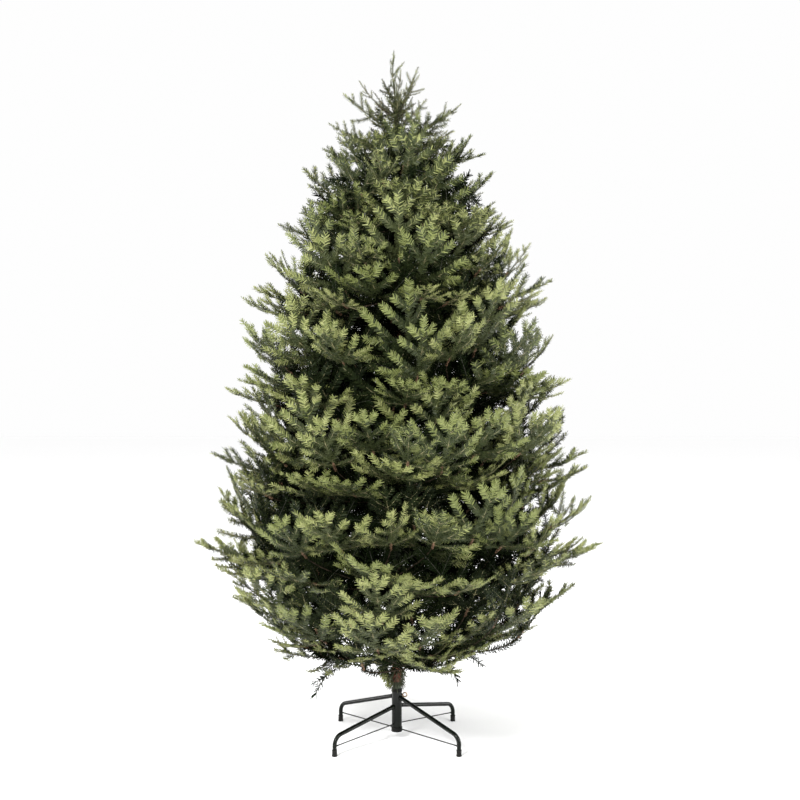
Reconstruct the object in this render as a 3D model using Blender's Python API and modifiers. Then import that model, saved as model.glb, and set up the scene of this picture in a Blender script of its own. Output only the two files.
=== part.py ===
# Artificial fir tree in its folding four-legged stand, undecorated, 2.10 m tall.
# Metres, +Z up. The origin is on the floor, on the axis of the pole.
# The pole stands in the hub tube of the stand. Hinged boughs leave its collars in four
# tiers, while the two upper tiers and the leader grow straight from the pole. Each mass
# of foliage is one solid: a stem, its side twigs, and flat fans that stand for the sprays
# of shoots. Every mass keeps to its own space in the crown.

import math
import random

import bmesh
import bpy
from mathutils import Matrix, Vector

# Fits
CLEARANCE = 0.0003          # between touching pieces
SPACE_MARGIN = 0.004        # from foliage to the borders of its space
LIMB_MARGIN = 0.012         # from foliage to the axis of its own bough

# Stand
HUB_SIDES = 16              # of the tube, its cap and its rim, whose facets lie in line
HUB_BOTTOM = 0.0243
HUB_TOP = 0.1485
HUB_RADIUS = 0.0153
HUB_WALL = 0.0022
BASE_CAP_BOTTOM = 0.0210
BASE_CAP_TOP = 0.0350
BASE_CAP_RADIUS = 0.0168
RIM_BOTTOM = 0.1420
RIM_TOP = 0.1520
RIM_RADIUS = 0.0169
BOSS_RADIUS = 0.0060        # threaded boss of the eye bolt on the hub tube
BOSS_REACH = 0.0163
BOLT_SIDES = 12
BOLT_HEIGHT = 0.1315
BOLT_RADIUS = 0.0029
BOLT_LENGTH = 0.0062
EYE_RADIUS = 0.0063
EYE_WIRE = 0.0017
EYE_SINK = 0.0007           # of the ring into the end of the bolt
FOOT_OFFSET = 0.180         # of each foot in X and in Y
LEG_RADIUS = 0.0063
LEG_BEND = 0.030
LEG_BEND_STEPS = 4
LEG_TURNS = (225, 45, 315, 135)            # front left, back right, front right, back left
LEG_HUB_HEIGHTS = (0.097, 0.097, 0.125, 0.125)
LEG_KNEE_HEIGHT = 0.055
FOOT_CAP_RADIUS = 0.0079
FOOT_CAP_HEIGHT = 0.0190
FOOT_CAP_FLOOR = 0.0030
FOOT_CAP_CHAMFER = 0.0010
FOOT_CAP_SIDES = 12
STAY_RADIUS = 0.0017
STAY_HUB_HEIGHTS = (0.044, 0.044, 0.0305, 0.0305)
STAY_LEG_HEIGHT = 0.0285

# Pole: three telescoped lengths and a collar at each tier
POLE_SIDES = 12
POLE_RADII = (0.0125, 0.0112, 0.0098)
POLE_JOINTS = (0.80, 1.36)
POLE_TOP = 1.715
COLLAR_RADIUS = 0.0155
COLLAR_HEIGHT = 0.026
COLLAR_CHAMFER = 0.002
TOP_COLLAR = 1.665

# Crown: (height, reach of the furthest tips)
CROWN_PROFILE = (
    (0.15, 0.29), (0.24, 0.36), (0.35, 0.44), (0.42, 0.49), (0.50, 0.58), (0.60, 0.621),
    (0.68, 0.625), (0.90, 0.570), (1.04, 0.550), (1.34, 0.485), (1.48, 0.430), (1.66, 0.355),
    (1.82, 0.255), (1.92, 0.215), (2.00, 0.160), (2.10, 0.004),
)
CROWN_SHIFT = 0.008         # the crown reaches this much further to the right
LEADER_LEAN = -0.010        # of the topmost tip in X
TREE_TOP = 2.10

# Surfaces between the tiers: (height at the pole, rise per metre outwards)
TIER_SURFACES = (
    (0.235, 0.15), (0.355, 0.30), (0.620, 0.28), (0.895, 0.27), (1.165, 0.27), (1.425, 0.27),
    (1.690, 0.28),
)

# Tiers, from the bottom: collar height, number of masses, azimuth of the first, length of
# the boughs (0 where the stems start at the pole), rise of bough and stem, number of sprays
# in the lower and the upper row round the outside, and their rise, length of a spray, and
# the seed of its first mass, which goes up by one from mass to mass
TIERS = (
    {"collar": 0.225, "count": 4, "turn": 20, "bough": 0.12, "rise": 11,
     "rows": ((4, 8), (4, 38)), "spray": 0.215, "seed": 135},
    {"collar": 0.420, "count": 5, "turn": 190, "bough": 0.15, "rise": 18,
     "rows": ((4, 18), (5, 44)), "spray": 0.230, "seed": 90},
    {"collar": 0.690, "count": 4, "turn": 0, "bough": 0.14, "rise": 18,
     "rows": ((5, 18), (5, 46)), "spray": 0.235, "seed": 114},
    {"collar": 0.960, "count": 4, "turn": 35, "bough": 0.12, "rise": 18,
     "rows": ((5, 18), (4, 46)), "spray": 0.230, "seed": 7},
    {"collar": 1.230, "count": 4, "turn": 80, "bough": 0.00, "rise": 19,
     "rows": ((4, 18), (3, 46)), "spray": 0.225, "seed": 10},
    {"collar": 1.495, "count": 3, "turn": 30, "bough": 0.00, "rise": 22,
     "rows": ((4, 20), (3, 46)), "spray": 0.200, "seed": 38},
)
ROW_PARTS = (0.18, 0.80)    # height of each row's tips in the tier, from its lower surface
ROW_WIDTH = 0.94            # of the sector that a row's sprays spread over
BOUGH_RADII = (0.0056, 0.0044)
STEM_RADII = (0.0042, 0.0018)
TWIG_RADII = (0.0032, 0.0)

# How far a spray may stray from its place, and how it shrinks and strays with each try
SPRAY_TRIES = 24
SHRINK = 0.020              # of its length and of its roll
WIDEN = 0.1
SIZE_PART = 0.05            # of its length
TURN_STRAY = 4              # degrees
TILT_STRAY = 9              # degrees
LEVEL_STRAY = 0.09          # of the tier's height
TIP_REACH = (0.87, 1.00)    # of the crown's reach
TIP_INSET = 0.002
END_INSET = 0.003           # of the stem's own end spray
END_ROLL = 15               # greatest roll of that spray, in degrees
STEM_STEP = 0.002
TWIG_SLOPE = 0.9            # run along the stem for each metre aside
TWIG_FIRST = 0.012          # first place of a twig on the stem

# Leader: whorls of twigs by height of their tips, number, rise and length of the sprays
LEADER_WHORLS = (
    (1.79, 6, 18, 0.180), (1.87, 5, 28, 0.165), (1.95, 4, 36, 0.145), (2.02, 3, 50, 0.115),
)
LEADER_SPRAY = 0.150
LEADER_RADIUS = 0.0052
LEADER_SEED = 59
LEADER_TRIES = 12
LEADER_SHRINK = 0.03
LEADER_TURN = 10            # degrees to either side
LEADER_TILT = 8
LEADER_LEVEL = 0.02
LEADER_REACH = (0.86, 0.99)
LEADER_FILLERS = 6

# Fans: the shoots of a spray as teeth round a centre, as parts of the spray's length
FAN_CENTRE = 0.30
FAN_TIPS = ((0, 0.70), (50, 0.62), (100, 0.46))
FAN_NOTCH = 0.52
FAN_THICKNESS = 0.055
FAN_ROLL = 42               # greatest roll of a fan to either side, in degrees
SPRAY_SPACING = 0.55        # least distance of two fans' centres, in lengths

# Fillers: dark slender twigs inside the crown, each a spindle of four sides
FILLERS = 4
FILLER_LENGTH = 0.175
FILLER_RADII = (0.026, 0.017)
FILLER_WIDEST = 0.45        # place of the greatest radius along it
FILLER_TRIES = 10
FILLER_SHRINK = 0.04
FILLER_RUN = (0.03, 0.62)   # first place on the stem, and the run over which they stand
FILLER_SPREAD = (62, 118)   # degrees from the stem
FILLER_SIZES = (0.75, 1.10)
GOLDEN_ANGLE = 137.5

# Hanging twigs of every second mass of the lowest tier: (place on the stem, side)
HANGING = ((0.10, -1), (0.55, 1))
HANGING_TRIES = 6
HANGING_SHRINK = 0.08
HANGING_AHEAD = (0.3, 0.8)
HANGING_ASIDE = (0.1, 0.5)
HANGING_DROP = (0.7, 1.1)
HANGING_SIZES = (0.8, 1.0)


def clear_scene():
    for item in list(bpy.data.objects):
        bpy.data.objects.remove(item, do_unlink=True)


def make_collection(name):
    group = bpy.data.collections.new(name)
    bpy.context.scene.collection.children.link(group)
    return group


def make_material(name, colour, roughness, metallic=0.0):
    material = bpy.data.materials.new(name)
    material.use_nodes = True
    shader = material.node_tree.nodes["Principled BSDF"]
    shader.inputs["Base Color"].default_value = (*colour, 1.0)
    shader.inputs["Roughness"].default_value = roughness
    shader.inputs["Metallic"].default_value = metallic
    material.diffuse_color = (*colour, 1.0)
    return material


def make_object(name, mesh, collection, material=None):
    item = bpy.data.objects.new(name, mesh)
    collection.objects.link(item)
    if material:
        mesh.materials.clear()
        mesh.materials.append(material)
    return item


def mesh_from(bm, name):
    mesh = bpy.data.meshes.new(name)
    bmesh.ops.recalc_face_normals(bm, faces=bm.faces)
    bm.to_mesh(mesh)
    bm.free()
    return mesh


def shade_round(mesh, angle=40):
    mesh.shade_smooth()
    mesh.set_sharp_from_angle(angle=math.radians(angle))


def polar(radius, azimuth, height):
    # Point from its distance to the axis, its azimuth in degrees from +X and its height.
    turn = math.radians(azimuth)
    return Vector((radius * math.cos(turn), radius * math.sin(turn), height))


def axis_matrix(start, direction):
    # Turns +Z into the direction and moves the origin to the start.
    return Matrix.Translation(start) @ direction.to_track_quat("Z", "Y").to_matrix().to_4x4()


def make_rod(name, start, end, radii, sides, collection, material=None):
    # Round or pointed rod between two points, its two radii at the start and at the end.
    run = end - start
    bm = bmesh.new()
    bmesh.ops.create_cone(
        bm, cap_ends=True, segments=sides, radius1=radii[0], radius2=radii[1], depth=run.length,
        matrix=axis_matrix(start + run * 0.5, run))
    mesh = mesh_from(bm, name)
    if sides > 6:
        shade_round(mesh)
    return make_object(name, mesh, collection, material)


def make_turned(name, profile, steps, collection, material):
    # Closed profile of (radius, height) points, down its outer side, turned about Z.
    bm = bmesh.new()
    points = [bm.verts.new((radius, 0.0, height)) for radius, height in profile]
    closed = all(radius > 0 for radius, height in profile)
    for first, second in zip(points, points[1:]):
        bm.edges.new((first, second))
    if closed:
        bm.edges.new((points[-1], points[0]))
    mesh = bpy.data.meshes.new(name)
    bm.to_mesh(mesh)
    bm.free()
    item = make_object(name, mesh, collection, material)
    screw = item.modifiers.new("turn", "SCREW")
    screw.steps = steps
    screw.render_steps = steps
    screw.use_merge_vertices = True
    screw.merge_threshold = 0.00001
    screw.use_smooth_shade = False
    return item


def clear_bore(radius, sides):
    # Radius of a bore whose flat facets clear a round piece of the given radius.
    return (radius + CLEARANCE) / math.cos(math.pi / sides)


def make_tube(name, points, radius, collection, material):
    # Bent rod through the points, eight sides and filled ends.
    curve = bpy.data.curves.new(name, "CURVE")
    curve.dimensions = "3D"
    curve.bevel_depth = radius
    curve.bevel_resolution = 2
    curve.use_fill_caps = True
    spline = curve.splines.new("POLY")
    spline.points.add(len(points) - 1)
    for place, point in zip(spline.points, points):
        place.co = (*point, 1.0)
    item = bpy.data.objects.new(name, curve)
    collection.objects.link(item)
    curve.materials.append(material)
    return item


def apply_modifiers(item):
    # Swaps the object's mesh for the evaluated one and drops the modifiers.
    graph = bpy.context.evaluated_depsgraph_get()
    mesh = bpy.data.meshes.new_from_object(item.evaluated_get(graph))
    item.modifiers.clear()
    item.data = mesh


def boolean(item, operation, cutter, solver="EXACT"):
    # Joins or cuts the object with another object, or with all objects of a collection.
    change = item.modifiers.new(operation.lower(), "BOOLEAN")
    change.operation = operation
    change.solver = solver
    if isinstance(cutter, bpy.types.Collection):
        change.operand_type = "COLLECTION"
        change.collection = cutter
    else:
        change.object = cutter
    apply_modifiers(item)


def keep_outer_shell(item):
    # Keeps the largest connected shell: loose scraps go, and sealed hollows are filled.
    bm = bmesh.new()
    bm.from_mesh(item.data)
    bm.verts.ensure_lookup_table()
    shells = []
    seen = set()
    for vert in bm.verts:
        if vert in seen:
            continue
        shell = {vert}
        front = [vert]
        while front:
            for edge in front.pop().link_edges:
                for near in edge.verts:
                    if near not in shell:
                        shell.add(near)
                        front.append(near)
        seen |= shell
        shells.append(shell)
    largest = max(shells, key=len)
    bmesh.ops.delete(bm, geom=[vert for vert in bm.verts if vert not in largest], context="VERTS")
    bmesh.ops.triangulate(bm, faces=bm.faces)
    bm.to_mesh(item.data)
    bm.free()


def make_hub(parts, cutters):
    # Steel hub tube with the threaded boss, and the plastic cap and rim at its ends.
    steel = make_material("hub_green_black_steel", (0.020, 0.028, 0.020), 0.25, 0.6)
    plastic = make_material("black_plastic", (0.012, 0.012, 0.012), 0.45)
    inner = HUB_RADIUS - HUB_WALL
    tube = make_turned("hub_tube", (
        (HUB_RADIUS, HUB_TOP), (HUB_RADIUS, HUB_BOTTOM), (inner, HUB_BOTTOM), (inner, HUB_TOP)),
        HUB_SIDES, parts, steel)
    apply_modifiers(tube)
    middle = HUB_RADIUS - HUB_WALL * 0.5
    boss = make_rod("boss", Vector((middle, 0, BOLT_HEIGHT)), Vector((BOSS_REACH, 0, BOLT_HEIGHT)),
                    (BOSS_RADIUS, BOSS_RADIUS), 6, cutters)
    thread = make_rod("thread", Vector((0.005, 0, BOLT_HEIGHT)), Vector((0.030, 0, BOLT_HEIGHT)),
                      (BOLT_RADIUS + CLEARANCE,) * 2, BOLT_SIDES, cutters)
    boolean(tube, "UNION", boss)
    boolean(tube, "DIFFERENCE", thread)
    shade_round(tube.data)
    for cutter in (boss, thread):
        bpy.data.objects.remove(cutter, do_unlink=True)

    around = HUB_RADIUS + CLEARANCE
    floor = HUB_BOTTOM - CLEARANCE
    make_turned("hub_base_cap", (
        (0.0, floor), (around, floor), (around, BASE_CAP_TOP), (BASE_CAP_RADIUS, BASE_CAP_TOP),
        (BASE_CAP_RADIUS, BASE_CAP_BOTTOM), (0.0, BASE_CAP_BOTTOM)), HUB_SIDES, parts, plastic)
    bore = clear_bore(POLE_RADII[0], HUB_SIDES)
    make_turned("hub_rim", (
        (RIM_RADIUS, RIM_TOP), (RIM_RADIUS, RIM_BOTTOM), (around, RIM_BOTTOM),
        (around, HUB_TOP + CLEARANCE), (bore, HUB_TOP + CLEARANCE), (bore, RIM_TOP)),
        HUB_SIDES, parts, make_material("black_plastic_rim", (0.012, 0.012, 0.012), 0.45))


def make_eye_bolt(parts):
    # Thumb screw with a ring for a head, its point just clear of the pole.
    copper = make_material("eye_bolt_brown_steel", (0.32, 0.16, 0.08), 0.35, 0.8)
    start = POLE_RADII[0] + CLEARANCE
    end = start + BOLT_LENGTH
    bolt = make_rod("eye_bolt", Vector((start, 0, BOLT_HEIGHT)), Vector((end, 0, BOLT_HEIGHT)),
                    (BOLT_RADIUS, BOLT_RADIUS), BOLT_SIDES, parts, copper)
    centre = end + EYE_RADIUS - EYE_SINK
    turn = Matrix.Rotation(math.radians(90), 4, "X")
    bpy.ops.mesh.primitive_torus_add(
        location=(centre, 0, BOLT_HEIGHT), rotation=turn.to_euler(), major_segments=16,
        minor_segments=5, major_radius=EYE_RADIUS, minor_radius=EYE_WIRE)
    eye = bpy.context.object
    boolean(bolt, "UNION", eye)
    keep_outer_shell(bolt)
    shade_round(bolt.data)
    bpy.data.objects.remove(eye, do_unlink=True)


def leg_path(hub_height, turn):
    # Slopes down from the hub, bends through an arc and ends upright in its foot cap.
    foot = math.hypot(FOOT_OFFSET, FOOT_OFFSET)
    start = (HUB_RADIUS + CLEARANCE + LEG_RADIUS * 0.3, hub_height)
    slope = math.atan2(hub_height - LEG_KNEE_HEIGHT, foot - start[0])
    bend = math.radians(90) - slope
    tangent = LEG_BEND * math.tan(bend * 0.5)
    centre = (foot - LEG_BEND, LEG_KNEE_HEIGHT - tangent)
    points = [start]
    for step in range(LEG_BEND_STEPS + 1):
        angle = bend * (1 - step / LEG_BEND_STEPS)
        points.append((centre[0] + LEG_BEND * math.cos(angle),
                       centre[1] + LEG_BEND * math.sin(angle)))
    points.append((foot, FOOT_CAP_FLOOR + CLEARANCE))
    return [polar(radius, turn, height) for radius, height in points]


def make_stand_leg(number, turn, hub_height, stay_height, parts):
    # One leg with the wire stay below it and the cap on its foot.
    steel = make_material(f"leg_{number}_black_steel", (0.018, 0.020, 0.016), 0.30, 0.5)
    wire = make_material(f"stay_{number}_black_steel", (0.018, 0.020, 0.016), 0.30, 0.5)
    rubber = make_material(f"foot_cap_{number}_black", (0.010, 0.010, 0.010), 0.60)
    make_tube(f"leg_{number}", leg_path(hub_height, turn), LEG_RADIUS, parts, steel)

    foot = math.hypot(FOOT_OFFSET, FOOT_OFFSET)
    hub = HUB_RADIUS if stay_height > BASE_CAP_TOP + STAY_RADIUS else BASE_CAP_RADIUS
    make_rod(f"stay_{number}", polar(hub + CLEARANCE * 2, turn, stay_height),
             polar(foot - LEG_RADIUS - CLEARANCE * 2, turn, STAY_LEG_HEIGHT),
             (STAY_RADIUS, STAY_RADIUS), 6, parts, wire)

    bore = clear_bore(LEG_RADIUS, FOOT_CAP_SIDES)
    cut = FOOT_CAP_CHAMFER
    cap = make_turned(f"foot_cap_{number}", (
        (0.0, FOOT_CAP_FLOOR), (bore, FOOT_CAP_FLOOR), (bore, FOOT_CAP_HEIGHT),
        (FOOT_CAP_RADIUS - cut * 0.5, FOOT_CAP_HEIGHT), (FOOT_CAP_RADIUS, FOOT_CAP_HEIGHT - cut),
        (FOOT_CAP_RADIUS, cut), (FOOT_CAP_RADIUS - cut, 0.0), (0.0, 0.0)),
        FOOT_CAP_SIDES, parts, rubber)
    cap.location = polar(foot, turn, 0.0)


def make_pole(parts):
    # Whole pole as one turned profile, thinner above each joint, a collar at each tier.
    green = make_material("pole_green_steel", (0.06, 0.09, 0.045), 0.40, 0.3)
    collars = sorted([tier["collar"] for tier in TIERS] + [TOP_COLLAR], reverse=True)
    marks = [(height, "collar") for height in collars]
    marks += [(POLE_JOINTS[1], "joint"), (POLE_JOINTS[0], "joint")]
    radius = POLE_RADII[2]
    profile = [(0.0, POLE_TOP), (radius, POLE_TOP)]
    half = COLLAR_HEIGHT * 0.5
    for height, kind in sorted(marks, reverse=True):
        if kind == "joint":
            profile.append((radius, height))
            radius = POLE_RADII[POLE_RADII.index(radius) - 1]
            profile.append((radius, height - COLLAR_CHAMFER))
        else:
            profile += [
                (radius, height + half), (COLLAR_RADIUS, height + half - COLLAR_CHAMFER),
                (COLLAR_RADIUS, height - half + COLLAR_CHAMFER), (radius, height - half)]
    profile += [(radius, HUB_BOTTOM), (0.0, HUB_BOTTOM)]
    make_turned("pole", profile, POLE_SIDES, parts, green)


def reach_at(height, azimuth):
    # Furthest reach of the crown at a height, read from the profile between its points.
    shift = CROWN_SHIFT * math.cos(azimuth)
    for (low, near), (high, far) in zip(CROWN_PROFILE, CROWN_PROFILE[1:]):
        if low <= height <= high:
            return near + (far - near) * (height - low) / (high - low) + shift * min(1.0, near * 3)
    return 0.0


def make_space(tier_number, azimuth):
    # Space of one mass: a sector of the crown between two surfaces of the tiers.
    count = TIERS[tier_number]["count"]
    return {
        "azimuth": math.radians(azimuth),
        "half": math.pi / count,
        "low": TIER_SURFACES[tier_number],
        "high": TIER_SURFACES[tier_number + 1],
        "inner": COLLAR_RADIUS + LIMB_MARGIN,
        "limb": None,
    }


def in_space(point, space):
    radius = math.hypot(point.x, point.y)
    azimuth = math.atan2(point.y, point.x)
    if radius < space["inner"] or radius > reach_at(point.z, azimuth):
        return False
    if point.z < space["low"][0] + space["low"][1] * radius + SPACE_MARGIN:
        return False
    if space["high"] and point.z > space["high"][0] + space["high"][1] * radius - SPACE_MARGIN:
        return False
    if space["half"] < math.pi:
        turn = abs((azimuth - space["azimuth"] + math.pi) % (2 * math.pi) - math.pi)
        if turn > space["half"] or radius * math.sin(space["half"] - turn) < SPACE_MARGIN:
            return False
    if space["limb"]:
        start, end = space["limb"]
        run = end - start
        part = max(0.0, min(1.0, (point - start).dot(run) / run.length_squared))
        if (start + run * part - point).length < LIMB_MARGIN:
            return False
    return True


def fan_outline(length):
    # Ring of points round the fan's centre, along and across the spray: the tips of five
    # shoots and the notches between them, closed straight across at the back.
    one_side = []
    for (angle, reach), following in zip(FAN_TIPS, FAN_TIPS[1:] + (None,)):
        one_side.append((math.radians(angle), reach))
        if following:
            one_side.append((math.radians((angle + following[0]) * 0.5),
                             FAN_NOTCH * 0.5 * (reach + following[1])))
    right = [((FAN_CENTRE + reach * math.cos(angle)) * length, reach * math.sin(angle) * length)
             for angle, reach in one_side]
    left = [(ahead, -aside) for ahead, aside in reversed(right[1:])]
    return right + left


def make_spray(root, direction, roll, length):
    direction = direction.normalized()
    return {
        "root": root, "direction": direction, "roll": math.radians(roll), "length": length,
        "centre": root + direction * (FAN_CENTRE * length),
    }


def spray_axes(spray):
    # Axes of a spray: along it, across it (level before the roll) and square to its face.
    along = spray["direction"]
    across = Vector((0, 0, 1)).cross(along)
    if across.length < 0.2:
        across = Vector((0, 1, 0))
    across = Matrix.Rotation(spray["roll"], 3, along) @ across.normalized()
    return along, across, along.cross(across)


def spray_points(spray):
    along, across, face = spray_axes(spray)
    return [spray["root"] + along * ahead + across * aside
            for ahead, aside in fan_outline(spray["length"])]


def spray_fits(spray, space, others):
    # The outline lies in the space, and the centre is not too near another spray's.
    points = spray_points(spray)
    halves = [(first + second) * 0.5 for first, second in zip(points, points[1:] + points[:1])]
    if not all(in_space(point, space) for point in points + halves):
        return False
    for other in others:
        gap = SPRAY_SPACING * 0.5 * (spray["length"] + other["length"])
        if (other["centre"] - spray["centre"]).length < gap:
            return False
    return True


def grow_station(mass, space, azimuth, part, rise, length, rng):
    # A spray whose tip stands near the crown's outline, and the twig that carries it. Tries
    # again with other tilts and smaller, and skips the spray if none fits.
    low, high = space["low"], space["high"]
    for attempt in range(SPRAY_TRIES):
        ease = 1 - SHRINK * attempt
        size = length * ease * rng.uniform(1 - SIZE_PART, 1 + SIZE_PART)
        turn = azimuth + rng.uniform(-TURN_STRAY, TURN_STRAY) * (1 + WIDEN * attempt)
        tilt = math.radians(rise + rng.uniform(-TILT_STRAY, TILT_STRAY))
        reach = rng.uniform(*TIP_REACH)
        level = part + rng.uniform(-LEVEL_STRAY, LEVEL_STRAY)
        radius = CROWN_PROFILE[0][1]
        for guess in range(4):
            floor = low[0] + low[1] * radius
            height = floor + level * (high[0] + high[1] * radius - floor)
            radius = reach * reach_at(height, math.radians(turn))
        direction = polar(math.cos(tilt), turn, math.sin(tilt))
        tip = polar(radius - TIP_INSET, turn, height)
        roll = rng.uniform(-FAN_ROLL, FAN_ROLL) * ease
        spray = make_spray(tip - direction * size, direction, roll, size)
        if spray_fits(spray, space, mass["sprays"]):
            add_spray(mass, spray)
            return


def add_spray(mass, spray):
    # The twig leaves the stem at an angle, further in than the spray's own root.
    start, end = mass["stem"]
    along = (end - start).normalized()
    ahead = (spray["centre"] - start).dot(along)
    aside = (spray["centre"] - start - along * ahead).length
    place = max(TWIG_FIRST, min(ahead - aside * TWIG_SLOPE, (end - start).length * TWIG_SLOPE))
    mass["sprays"].append(spray)
    mass["twigs"].append((start + along * place, spray["centre"]))


def filler_points(start, direction, length):
    tip = start + direction * length
    widest = start + direction * (FILLER_WIDEST * length)
    side = direction.orthogonal().normalized() * FILLER_RADII[0]
    across = direction.cross(side)
    return [tip, widest + side, widest - side, widest + across, widest - across]


def grow_fillers(mass, space, count, rng):
    # Slender twigs all round the inner half of the stem, by the golden angle.
    start, end = mass["stem"]
    along = (end - start).normalized()
    side = along.orthogonal().normalized()
    lift = along.cross(side)
    roll = rng.uniform(0, 360)
    for number in range(count):
        place = start + (end - start) * (FILLER_RUN[0] + FILLER_RUN[1] * number / count)
        for attempt in range(FILLER_TRIES):
            roll += GOLDEN_ANGLE
            spread = math.radians(rng.uniform(*FILLER_SPREAD))
            turn = math.radians(roll)
            around = side * math.cos(turn) + lift * math.sin(turn)
            direction = along * math.cos(spread) + around * math.sin(spread)
            length = FILLER_LENGTH * rng.uniform(*FILLER_SIZES) * (1 - FILLER_SHRINK * attempt)
            if all(in_space(point, space) for point in filler_points(place, direction, length)):
                mass["fillers"].append((place, direction, length))
                break


def grow_hanging(mass, space, rng):
    # Twigs of the lowest masses that droop below the level underside of the crown.
    start, end = mass["stem"]
    along = (end - start).normalized()
    side = Vector((0, 0, 1)).cross(along)
    below = dict(space, low=(CROWN_PROFILE[0][0], 0.0))
    for part, sign in HANGING:
        for attempt in range(HANGING_TRIES):
            aim = along * rng.uniform(*HANGING_AHEAD) + side * (sign * rng.uniform(*HANGING_ASIDE))
            direction = (aim - Vector((0, 0, rng.uniform(*HANGING_DROP)))).normalized()
            length = FILLER_LENGTH * rng.uniform(*HANGING_SIZES) * (1 - HANGING_SHRINK * attempt)
            place = start + (end - start) * part
            if all(in_space(point, below) for point in filler_points(place, direction, length)):
                mass["fillers"].append((place, direction, length))
                break


def grow_mass(tier_number, number, seed):
    # The stem runs on from the bough or the pole to where its end spray meets the outline.
    # Twigs carry two rows of sprays round the outside, and fillers stand round the stem.
    rng = random.Random(seed)
    tier = TIERS[tier_number]
    azimuth = tier["turn"] + 360 / tier["count"] * number
    space = make_space(tier_number, azimuth)
    rise = math.radians(tier["rise"])
    along = polar(math.cos(rise), azimuth, math.sin(rise))
    radius = BOUGH_RADII[0] if tier["bough"] else STEM_RADII[0]
    root = polar(COLLAR_RADIUS + CLEARANCE + radius * math.sin(rise), azimuth, tier["collar"])
    bough_end = root + along * tier["bough"]
    start = root
    if tier["bough"]:
        space["limb"] = (root, bough_end)
        start = bough_end + along * CLEARANCE
    run = 0.0
    point = start
    while math.hypot(point.x, point.y) < reach_at(point.z, math.radians(azimuth)) - END_INSET:
        run += STEM_STEP
        point = start + along * run
    roll = rng.uniform(-END_ROLL, END_ROLL)
    tip = make_spray(start + along * (run - tier["spray"]), along, roll, tier["spray"])
    mass = {"bough": (root, bough_end), "stem": (start, tip["centre"]), "sprays": [tip],
            "twigs": [], "fillers": []}
    half = math.degrees(space["half"])
    for row, (count, row_rise) in enumerate(tier["rows"]):
        for station in range(count):
            turn = azimuth + half * ((2 * station + 1) / count - 1) * ROW_WIDTH
            grow_station(mass, space, turn, ROW_PARTS[row], row_rise, tier["spray"], rng)
    grow_fillers(mass, space, FILLERS, rng)
    if tier_number == 0 and number % 2 == 0:
        grow_hanging(mass, space, rng)
    return mass


def grow_leader(seed):
    # The upright leader: whorls of rising twigs, shorter towards the top, and a top spray.
    rng = random.Random(seed)
    space = {
        "azimuth": 0.0, "half": math.pi, "low": TIER_SURFACES[-1], "high": None, "inner": 0.0,
        "limb": None,
    }
    start = Vector((0, 0, POLE_TOP + CLEARANCE))
    top = Vector((LEADER_LEAN, 0, TREE_TOP))
    along = (top - start).normalized()
    tip = make_spray(top - along * LEADER_SPRAY, along, END_ROLL, LEADER_SPRAY)
    mass = {"stem": (start, tip["centre"]), "sprays": [tip], "twigs": [], "fillers": []}
    for whorl, (height, count, rise, length) in enumerate(LEADER_WHORLS):
        for number in range(count):
            azimuth = 360 / count * (number + 0.5 * (whorl % 2))
            for attempt in range(LEADER_TRIES):
                turn = azimuth + rng.uniform(-LEADER_TURN, LEADER_TURN)
                tilt = math.radians(rise + rng.uniform(-LEADER_TILT, LEADER_TILT))
                size = length * (1 - LEADER_SHRINK * attempt) * rng.uniform(1 - SIZE_PART, 1 + SIZE_PART)
                direction = polar(math.cos(tilt), turn, math.sin(tilt))
                level = height + rng.uniform(-LEADER_LEVEL, LEADER_LEVEL)
                radius = rng.uniform(*LEADER_REACH) * reach_at(level, math.radians(turn))
                root = polar(radius, turn, level) - direction * size
                spray = make_spray(root, direction, rng.uniform(-FAN_ROLL, FAN_ROLL), size)
                if spray_fits(spray, space, mass["sprays"]):
                    add_spray(mass, spray)
                    break
    grow_fillers(mass, space, LEADER_FILLERS, rng)
    return mass


def make_fan(name, spray, collection):
    # Flat double pyramid whose ring is drawn out into the outline of the spray.
    along, across, face = spray_axes(spray)
    outline = fan_outline(spray["length"])
    bm = bmesh.new()
    bmesh.ops.create_uvsphere(bm, u_segments=len(outline), v_segments=2, radius=1.0)
    ring = [vert for vert in bm.verts if abs(vert.co.z) < 0.5]
    ring.sort(key=lambda vert: math.atan2(vert.co.y, vert.co.x) % (2 * math.pi))
    for vert in bm.verts:
        if abs(vert.co.z) > 0.5:
            vert.co = spray["centre"] + face * (vert.co.z * 0.5 * FAN_THICKNESS * spray["length"])
    for vert, (ahead, aside) in zip(ring, outline):
        vert.co = spray["root"] + along * ahead + across * aside
    return make_object(name, mesh_from(bm, name), collection)


def make_filler(name, start, direction, length, collection):
    # Spindle of four sides, flatter one way than the other.
    bm = bmesh.new()
    bmesh.ops.create_uvsphere(bm, u_segments=4, v_segments=2, radius=1.0)
    for vert in bm.verts:
        if abs(vert.co.z) > 0.5:
            vert.co = Vector((0, 0, length if vert.co.z > 0 else 0.0))
        else:
            vert.co = Vector((vert.co.x * FILLER_RADII[0], vert.co.y * FILLER_RADII[1],
                              FILLER_WIDEST * length))
    bmesh.ops.transform(bm, matrix=axis_matrix(start, direction), verts=bm.verts)
    return make_object(name, mesh_from(bm, name), collection)


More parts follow.
